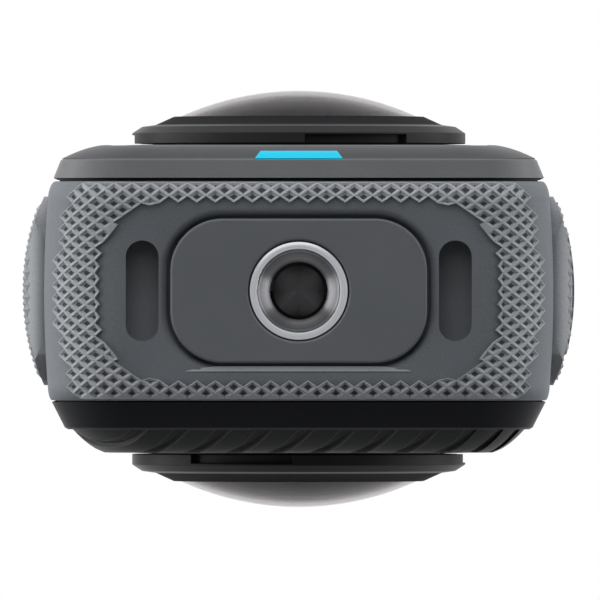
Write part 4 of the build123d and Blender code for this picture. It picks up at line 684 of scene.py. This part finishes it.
def wrapGrip(flat, turned, sink, plain=None):
    if plain:
        flat = keepOutside(flat, *plain)
    endGap = gripForm["endGap"]
    y = min(max(flat.y, gripForm["frontEnd"] + endGap), gripForm["backEnd"] - endGap)
    low, corner = gripSection(y)
    angle = max(0, abs(flat.x) - gripForm["straight"]) / gripForm["corner"]
    reach = corner - sink
    x = min(abs(flat.x), gripForm["straight"]) + reach * math.sin(angle)
    z = low + corner - reach * math.cos(angle)
    z = gripForm["low"] + gripForm["high"] - z if turned else z
    return Vector((math.copysign(x, flat.x), y, z)) * mm


gripKnurl = {
    "across": 2.13, "along": 1.448, "columns": 30, "rows": 19, "centre": (0, 0.81),
    "sink": 0.06, "proud": 0.4, "ridge": 0.08, "slope": 0.27, "pit": 0.24, "wholeCell": 0.92,
    "ends": (-11.6, 13.2), "bend": (27.8, 2.3, 12.1),
    "plainLow": ((0, 0.825), (22.9, 10.175), 7.8),
    "plainHigh": ((-1.5, 0.925), (21.5, 6.6), 6.6),
    "plainGap": 0.02,
}


def gripZone(plain):
    def inZone(u, y):
        x = abs(wrapGrip(Vector((u, y, 0)), False, 0).x) / mm
        widest, lessAtEnds, halfDepth = gripKnurl["bend"]
        limit = widest - lessAtEnds * ((y - gripForm["middle"]) / halfDepth) ** 2
        clear = outlineGap(x if u > 0 else -x, y, *gripKnurl[plain]) > gripKnurl["plainGap"]
        return gripKnurl["ends"][0] < y < gripKnurl["ends"][1] and x < limit and clear

    return inZone


for knurlName, plain, turned in (("gripKnurlLow", "plainLow", False), ("gripKnurlHigh", "plainHigh", True)):
    gripSheet = knurlSheet(
        knurlName,
        gripKnurl,
        gripZone(plain),
        lambda flat: wrapGrip(flat, turned, gripKnurl["sink"], gripKnurl[plain]),
        flipped=not turned,
    )
    pickFaces(gripSheet, lambda face: face.calc_area() > gripKnurl["wholeCell"] * mm**2)
    bpy.ops.mesh.inset(thickness=gripKnurl["ridge"] * mm, use_individual=True)
    bpy.ops.mesh.inset(thickness=gripKnurl["slope"] * mm, depth=-gripKnurl["pit"] * mm, use_individual=True)
    pitFloors = [face.index for face in bmesh.from_edit_mesh(gripSheet.data).faces if face.select]
    finishPiece(gripSheet, "camera", "grip_rubber", materials["knurlRubber"])
    # the pit floors get the dark rubber, painted shade in the pits
    paintFaces(gripSheet, pitFloors, materials["knurlPit"])
    print(knurlName, len(gripSheet.data.polygons), "faces")


# Side knurl: small pyramids over the side panel and the battery door
panelForm = {
    "crown": (31.6, 28.1), "edge": 29.4, "low": 9.2, "high": 52.0, "endRun": 3.6, "middle": 0.925,
}


def wrapPanel(flat, side, sink):
    y, z = flat.x, flat.y
    crown, bend = panelForm["crown"]
    across = crown - bend + math.sqrt(bend**2 - (y - panelForm["middle"]) ** 2)
    off = max(panelForm["low"] + panelForm["endRun"] - z, z - panelForm["high"] + panelForm["endRun"], 0)
    rise = math.sqrt(max(0, 1 - (off / panelForm["endRun"]) ** 2))
    across = min(across, panelForm["edge"] + (crown - panelForm["edge"]) * rise)
    return Vector((side * (across - sink), y, z)) * mm


panelKnurl = {
    "across": 1.44, "along": 1.44, "columns": 16, "rows": 31, "centre": (0.925, 30.6),
    "sink": 0.05, "proud": 0.1, "ridge": 0.04, "tip": 0.3,
    "zone": ((0.925, 30.6), (10.5, 20.7), 4.6),
    "doorPlain": [((0.925, 17.8), (8.3, 5.9), 2.0), ((0.925, 53), (12, 3.6), 0.5)],
    "panelPlain": [((0.925, 37.0), (4.2, 6.9), 4.2), ((0.925, 20.0), (4.6, 5.0), 1.5)],
    "plainGap": 0.6,
}


def panelZone(plainName):
    def inZone(y, z):
        inside = outlineGap(y, z, *panelKnurl["zone"]) < -panelKnurl["across"] / 2
        return inside and all(
            outlineGap(y, z, *plain) > panelKnurl["plainGap"] for plain in panelKnurl[plainName]
        )

    return inZone


for knurlName, side, plainName, body, slotName in (
    ("sidePanelKnurl", 1, "panelPlain", "camera", "panel_rubber"),
    ("doorKnurl", -1, "doorPlain", "door", "door_rubber"),
):
    panelSheet = knurlSheet(
        knurlName,
        panelKnurl,
        panelZone(plainName),
        lambda flat: wrapPanel(flat, side, panelKnurl["sink"]),
        flipped=side < 0,
    )
    bpy.ops.mesh.inset(thickness=panelKnurl["ridge"] * mm, use_individual=True)
    bpy.ops.mesh.poke(offset=panelKnurl["tip"] * mm)
    finishPiece(panelSheet, body, slotName)
    print(knurlName, len(panelSheet.data.polygons), "faces")


# Turned pieces: a line of corners is drawn from radius and height, then spun round its axis
def turnPiece(name, profile, place, centre, axis, steps):
    piece = startPiece(bpy.ops.mesh.primitive_plane_add, name, size=mm)
    bpy.ops.mesh.select_mode(type="VERT")
    bpy.ops.mesh.merge(type="CENTER")
    bpy.ops.transform.translate(value=place(*profile[0]))
    for start, end in zip(profile, profile[1:]):
        bpy.ops.mesh.extrude_vertices_move(TRANSFORM_OT_translate={"value": place(*end) - place(*start)})
    bpy.ops.mesh.select_all(action="SELECT")
    bpy.ops.mesh.spin(steps=steps, angle=2 * math.pi, center=centre, axis=axis)
    bpy.ops.mesh.select_all(action="SELECT")
    bpy.ops.mesh.remove_doubles(threshold=seams["weldGap"] * mm)
    bpy.ops.mesh.normals_make_consistent(inside=False)
    return piece


# Lens covers: a bevelled ring with three grip lugs under its lip, and a glass dome
coverRing = {
    "face": 17.75, "height": 46.8, "steps": 180,
    "profile": (
        (14.25, 3.54), (14.25, 2.92), (14.5, 1.8), (17.38, 1.8), (17.38, 0.38), (18.6, 0.38), (18.6, 1.4),
        (19.5, 1.4), (19.5, 1.62), (18.35, 2.38), (16.75, 2.6), (14.6, 3.58), (14.25, 3.54),
    ),
    "lugAngles": (50.5, 170.5, 290.5), "lugSweep": 82, "lugLow": 0.38,
    "lipLow": 1.4, "lipBelow": 1.5, "lipRadii": (18.7, 19.4), "lipFlat": 0.9,
    "coneRadius": 16.7, "coneAbove": 2.6,
    "edge": 0.07, "edgeSteps": 2, "edgeAngle": 24,
}
dome = {
    "radius": 14.2, "edgeHigh": 3.42, "apexHigh": 6.62, "thick": 0.5, "steps": 96, "rings": 14,
    "smoothAngle": 40,
}
fisheye = {
    "steps": 96, "smoothAngle": 24,
    "element": (
        (0, 5.77), (1.5, 5.74), (3.0, 5.63), (4.5, 5.46), (6.0, 5.22), (7.5, 4.91), (9.0, 4.53),
        (10.5, 4.08), (12.0, 3.53), (12.9, 3.15), (13.1, 2.85), (9.9, 2.76), (9.9, 1.2), (0, 1.2),
    ),
    "seat": (
        (9.95, 1.0), (9.95, 2.5), (10.25, 2.7), (12.6, 2.72), (12.8, 2.55), (12.8, 1.7), (11.1, 1.2),
        (11.1, 0.6), (9.95, 0.6), (9.95, 1.0),
    ),
    "pupil": ((0, 5.93), (1.0, 5.91), (2.0, 5.84), (2.8, 5.74), (3.25, 5.66), (3.25, 5.4), (0, 5.4)),
    "pupilRim": ((3.28, 5.4), (3.28, 5.68), (3.4, 5.74), (3.55, 5.66), (3.62, 5.4), (3.28, 5.4)),
}


def lensPlace(side):
    def place(radius, height):
        return Vector((side * radius, side * (coverRing["face"] + height), coverRing["height"])) * mm

    return place


def underLip(face, side):
    # a face of the lip's underside that lies within one lug's sweep
    middle = face.calc_center_median() / mm
    across = Vector((side * middle.x, coverRing["height"] - middle.z))
    inner, outer = coverRing["lipRadii"]
    if not (inner < across.length < outer and abs(face.normal.y) > coverRing["lipFlat"]):
        return False
    if side * middle.y - coverRing["face"] > coverRing["lipBelow"]:
        return False
    turn = math.degrees(math.atan2(across.y, across.x))
    turnsAway = [abs((turn - angle + 180) % 360 - 180) for angle in coverRing["lugAngles"]]
    return min(turnsAway) < coverRing["lugSweep"] / 2


def onCone(face, side):
    middle = face.calc_center_median() / mm
    radius = math.hypot(middle.x, middle.z - coverRing["height"])
    return radius < coverRing["coneRadius"] and side * middle.y - coverRing["face"] > coverRing["coneAbove"]


def domeProfile():
    # outer arc from apex to edge, then the inner one back
    rise = dome["apexHigh"] - dome["edgeHigh"]
    sphere = (dome["radius"] ** 2 + rise**2) / (2 * rise)
    inner = sphere - dome["thick"]
    centre = dome["apexHigh"] - sphere
    turns = [math.pi / 2 * step / dome["rings"] for step in range(dome["rings"] + 1)]
    radii = [dome["radius"] * math.sin(turn) for turn in turns]
    outerArc = [(radius, centre + math.sqrt(sphere**2 - radius**2)) for radius in radii]
    innerArc = [(radius, centre + math.sqrt(inner**2 - radius**2)) for radius in reversed(radii)]
    return outerArc + innerArc


for lensName, side in (("back", 1), ("front", -1)):
    place = lensPlace(side)
    spin = (place, Vector((0, 0, coverRing["height"])) * mm, (0, side, 0))
    ring = turnPiece(lensName + "CoverRing", coverRing["profile"], *spin, coverRing["steps"])
    pickFaces(ring, lambda face: underLip(face, side))
    drop = coverRing["lipLow"] - coverRing["lugLow"]
    bpy.ops.mesh.extrude_region_move(TRANSFORM_OT_translate={"value": (0, -side * drop * mm, 0)})
    bpy.ops.mesh.select_all(action="SELECT")
    bpy.ops.mesh.remove_doubles(threshold=seams["weldGap"] * mm)
    bpy.ops.mesh.select_all(action="DESELECT")
    bpy.ops.mesh.select_interior_faces()
    bpy.ops.mesh.delete(type="FACE")
    pickFaces(ring, lambda face: onCone(face, side))
    coneFaces = [face.index for face in bmesh.from_edit_mesh(ring.data).faces if face.select]
    finishPiece(ring, lensName + "_cover", "lens_ring_black")
    paintFaces(ring, coneFaces, materials["barrelBlack"])
    applyModifier(
        ring, "BEVEL", width=coverRing["edge"] * mm, segments=coverRing["edgeSteps"], limit_method="ANGLE",
        angle_limit=math.radians(coverRing["edgeAngle"]), harden_normals=True,
    )
    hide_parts(lensName + "_cover_ring")

    glass = turnPiece(lensName + "Dome", domeProfile(), *spin, dome["steps"])
    finishPiece(glass, lensName + "_cover", "cover_glass", smoothAngle=dome["smoothAngle"])
    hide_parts(lensName + "_cover_glass")

    element = turnPiece(lensName + "Fisheye", fisheye["element"], *spin, fisheye["steps"])
    finishPiece(element, "camera", "element_glass", smoothAngle=fisheye["smoothAngle"])
    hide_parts(lensName + "_fisheye_element")
    for partName, finish in (("seat", "barrelBlack"), ("pupil", "coatedRed"), ("pupilRim", "pupilRim")):
        part = turnPiece(lensName + partName.title(), fisheye[partName], *spin, fisheye["steps"])
        finishPiece(part, "camera", "element_glass", materials[finish], smoothAngle=fisheye["smoothAngle"])
    print(lensName, "lens pieces ready")


# Mount pad: a rounded plate with a soft edge and the bush's round opening
padShell = {
    "half": (14.75, 8.3), "corner": 6.0, "high": 1.95, "middle": 0.925, "hole": 5.8, "corners": 192,
    "edge": 0.32, "edgeSteps": 4, "edgeAngle": 40, "farthest": 30, "halvings": 24,
}

pad = startPiece(
    bpy.ops.mesh.primitive_circle_add,
    "padShell",
    vertices=padShell["corners"],
    radius=padShell["hole"] * mm,
)
bpy.ops.mesh.extrude_edges_move()


def onPadOutline(point):
    # from the pad's middle outwards, the outline is found by halving
    near, far = 0, padShell["farthest"]
    for step in range(padShell["halvings"]):
        reach = (near + far) / 2
        place = point.normalized() * reach
        outside = outlineGap(place.x, place.y, (0, 0), padShell["half"], padShell["corner"]) > 0
        near, far = (near, reach) if outside else (reach, far)
    return point.normalized() * near * mm


padRing = bmesh.from_edit_mesh(pad.data)
for corner in padRing.verts:
    if corner.select:
        corner.co = onPadOutline(corner.co)
bmesh.update_edit_mesh(pad.data)
bpy.ops.mesh.select_all(action="SELECT")
bpy.ops.mesh.extrude_region_move(TRANSFORM_OT_translate={"value": (0, 0, padShell["high"] * mm)})
bpy.ops.mesh.select_all(action="SELECT")
bpy.ops.transform.translate(value=(0, padShell["middle"] * mm, 0))
finishPiece(pad, "camera", "pad_plastic")
applyModifier(
    pad, "BEVEL", width=padShell["edge"] * mm, segments=padShell["edgeSteps"], limit_method="ANGLE",
    angle_limit=math.radians(padShell["edgeAngle"]), harden_normals=True,
)
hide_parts("mount_pad")

# Pad lip: along the pad's front edge the grip's rim slopes down to it, and its rubber is painted lighter
# than the grip as a painted highlight, the narrow pale band
padLip = {
    "near": 0.38, "far": 0.96, "deep": 0.5, "rim": 0.34, "thick": 0.2, "columns": 96,
    "reach": 0.7, "ends": 0.9,  # how far it runs on past the straight edge, and how much narrower it ends
}

lip = startPiece(
    bpy.ops.mesh.primitive_grid_add, "padLip", x_subdivisions=padLip["columns"], y_subdivisions=1, size=2
)


def shapeLip(point):
    # the grid runs from -1 to 1, along the pad's edge and across the lip
    straight = padShell["half"][0] - padShell["corner"]
    along = abs(point.x) * (straight + padLip["reach"] * padShell["corner"])
    turn = max(0, along - straight) / padShell["corner"]
    share = (1 - point.y) / 2 * (1 - padLip["ends"] * (turn / padLip["reach"]) ** 2)
    y = padShell["middle"] - padShell["half"][1] - padLip["far"] + share * (padLip["far"] - padLip["near"])
    z = padLip["rim"] + share * (padLip["deep"] - padLip["rim"])
    return Vector((math.copysign(along, point.x), y, z)) * mm


moveCorners(lip, shapeLip)
bpy.ops.mesh.select_all(action="SELECT")
bpy.ops.mesh.extrude_region_move(TRANSFORM_OT_translate={"value": (0, 0, padLip["thick"] * mm)})
finishPiece(lip, "camera", "grip_rubber", materials["lipRubber"])
print("pad ready")


# Tripod bush: a domed rim, a cone down to the thread, and a faceted blind end
bush = {
    "middle": 0.925, "steps": 96, "smoothAngle": 28,
    "profile": (
        (0, 7.9), (4.75, 7.9), (4.75, 1.95), (5.75, 1.95), (5.75, 0.42), (5.62, 0.2), (5.4, 0.08),
        (5.1, 0.05), (4.85, 0.1), (4.76, 0.2), (4.72, 0.42), (4.66, 0.5), (3.62, 1.35), (3.42, 1.5),
        (3.3, 1.62), (3.3, 6.9), (0, 6.9),
    ),
    "threadPitch": 1.27, "threadTurns": 4, "threadSteps": 72, "threadStart": 1.62,
    "threadCorners": ((3.34, 0.0), (2.95, 0.42), (3.34, 0.9)),
    "starRadius": 3.28, "starPoints": 4, "starHigh": 6.7, "starDeep": 0.35, "starThick": 0.3,
    "starSmooth": 8,
}


def bushPoint(radius, height):
    return Vector((radius, bush["middle"], height)) * mm


bushBody = turnPiece("bushBody", bush["profile"], bushPoint, bushPoint(0, 0), (0, 0, 1), bush["steps"])
finishPiece(bushBody, "camera", "bush_steel", smoothAngle=bush["smoothAngle"])
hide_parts("tripod_bush")

# its thread: a small triangle carried round and up by a screw
thread = startPiece(
    bpy.ops.mesh.primitive_circle_add, "bushThread", vertices=3, radius=mm, fill_type="NOTHING"
)
threadShape = bmesh.from_edit_mesh(thread.data)
for corner, (radius, height) in zip(threadShape.verts, bush["threadCorners"]):
    corner.co = Vector((radius, 0, bush["threadStart"] + height)) * mm
bmesh.update_edit_mesh(thread.data)
bpy.ops.object.mode_set(mode="OBJECT")
threadSteps = bush["threadSteps"] * bush["threadTurns"]
applyModifier(
    thread, "SCREW", axis="Z", angle=2 * math.pi * bush["threadTurns"],
    screw_offset=bush["threadPitch"] * bush["threadTurns"] * mm,
    steps=threadSteps, render_steps=threadSteps, use_merge_vertices=False,
)
bpy.ops.object.mode_set(mode="EDIT")
bpy.ops.mesh.select_mode(type="EDGE")
bpy.ops.mesh.select_all(action="DESELECT")
bpy.ops.mesh.select_non_manifold()
bpy.ops.mesh.edge_face_add()
bpy.ops.mesh.select_all(action="SELECT")
bpy.ops.transform.translate(value=(0, bush["middle"] * mm, 0))
finishPiece(thread, "camera", "bush_steel")

# its blind end: a shallow pleated star left by the cutter
star = startPiece(
    bpy.ops.mesh.primitive_circle_add,
    "bushEnd",
    vertices=4 * bush["starPoints"],
    radius=bush["starRadius"] * mm,
    fill_type="TRIFAN",
    location=(0, bush["middle"] * mm, bush["starHigh"] * mm),
)


def pleat(point):
    turn = math.atan2(point.y, point.x)
    rise = math.cos(bush["starPoints"] * turn) * bush["starDeep"] / 2 if point.length > mm else 0
    return point + Vector((0, 0, rise * mm))


moveCorners(star, pleat)
bpy.ops.mesh.select_all(action="SELECT")
bpy.ops.mesh.extrude_region_move(TRANSFORM_OT_translate={"value": (0, 0, bush["starThick"] * mm)})
finishPiece(star, "camera", "bush_steel", smoothAngle=bush["starSmooth"])
print("bush ready")
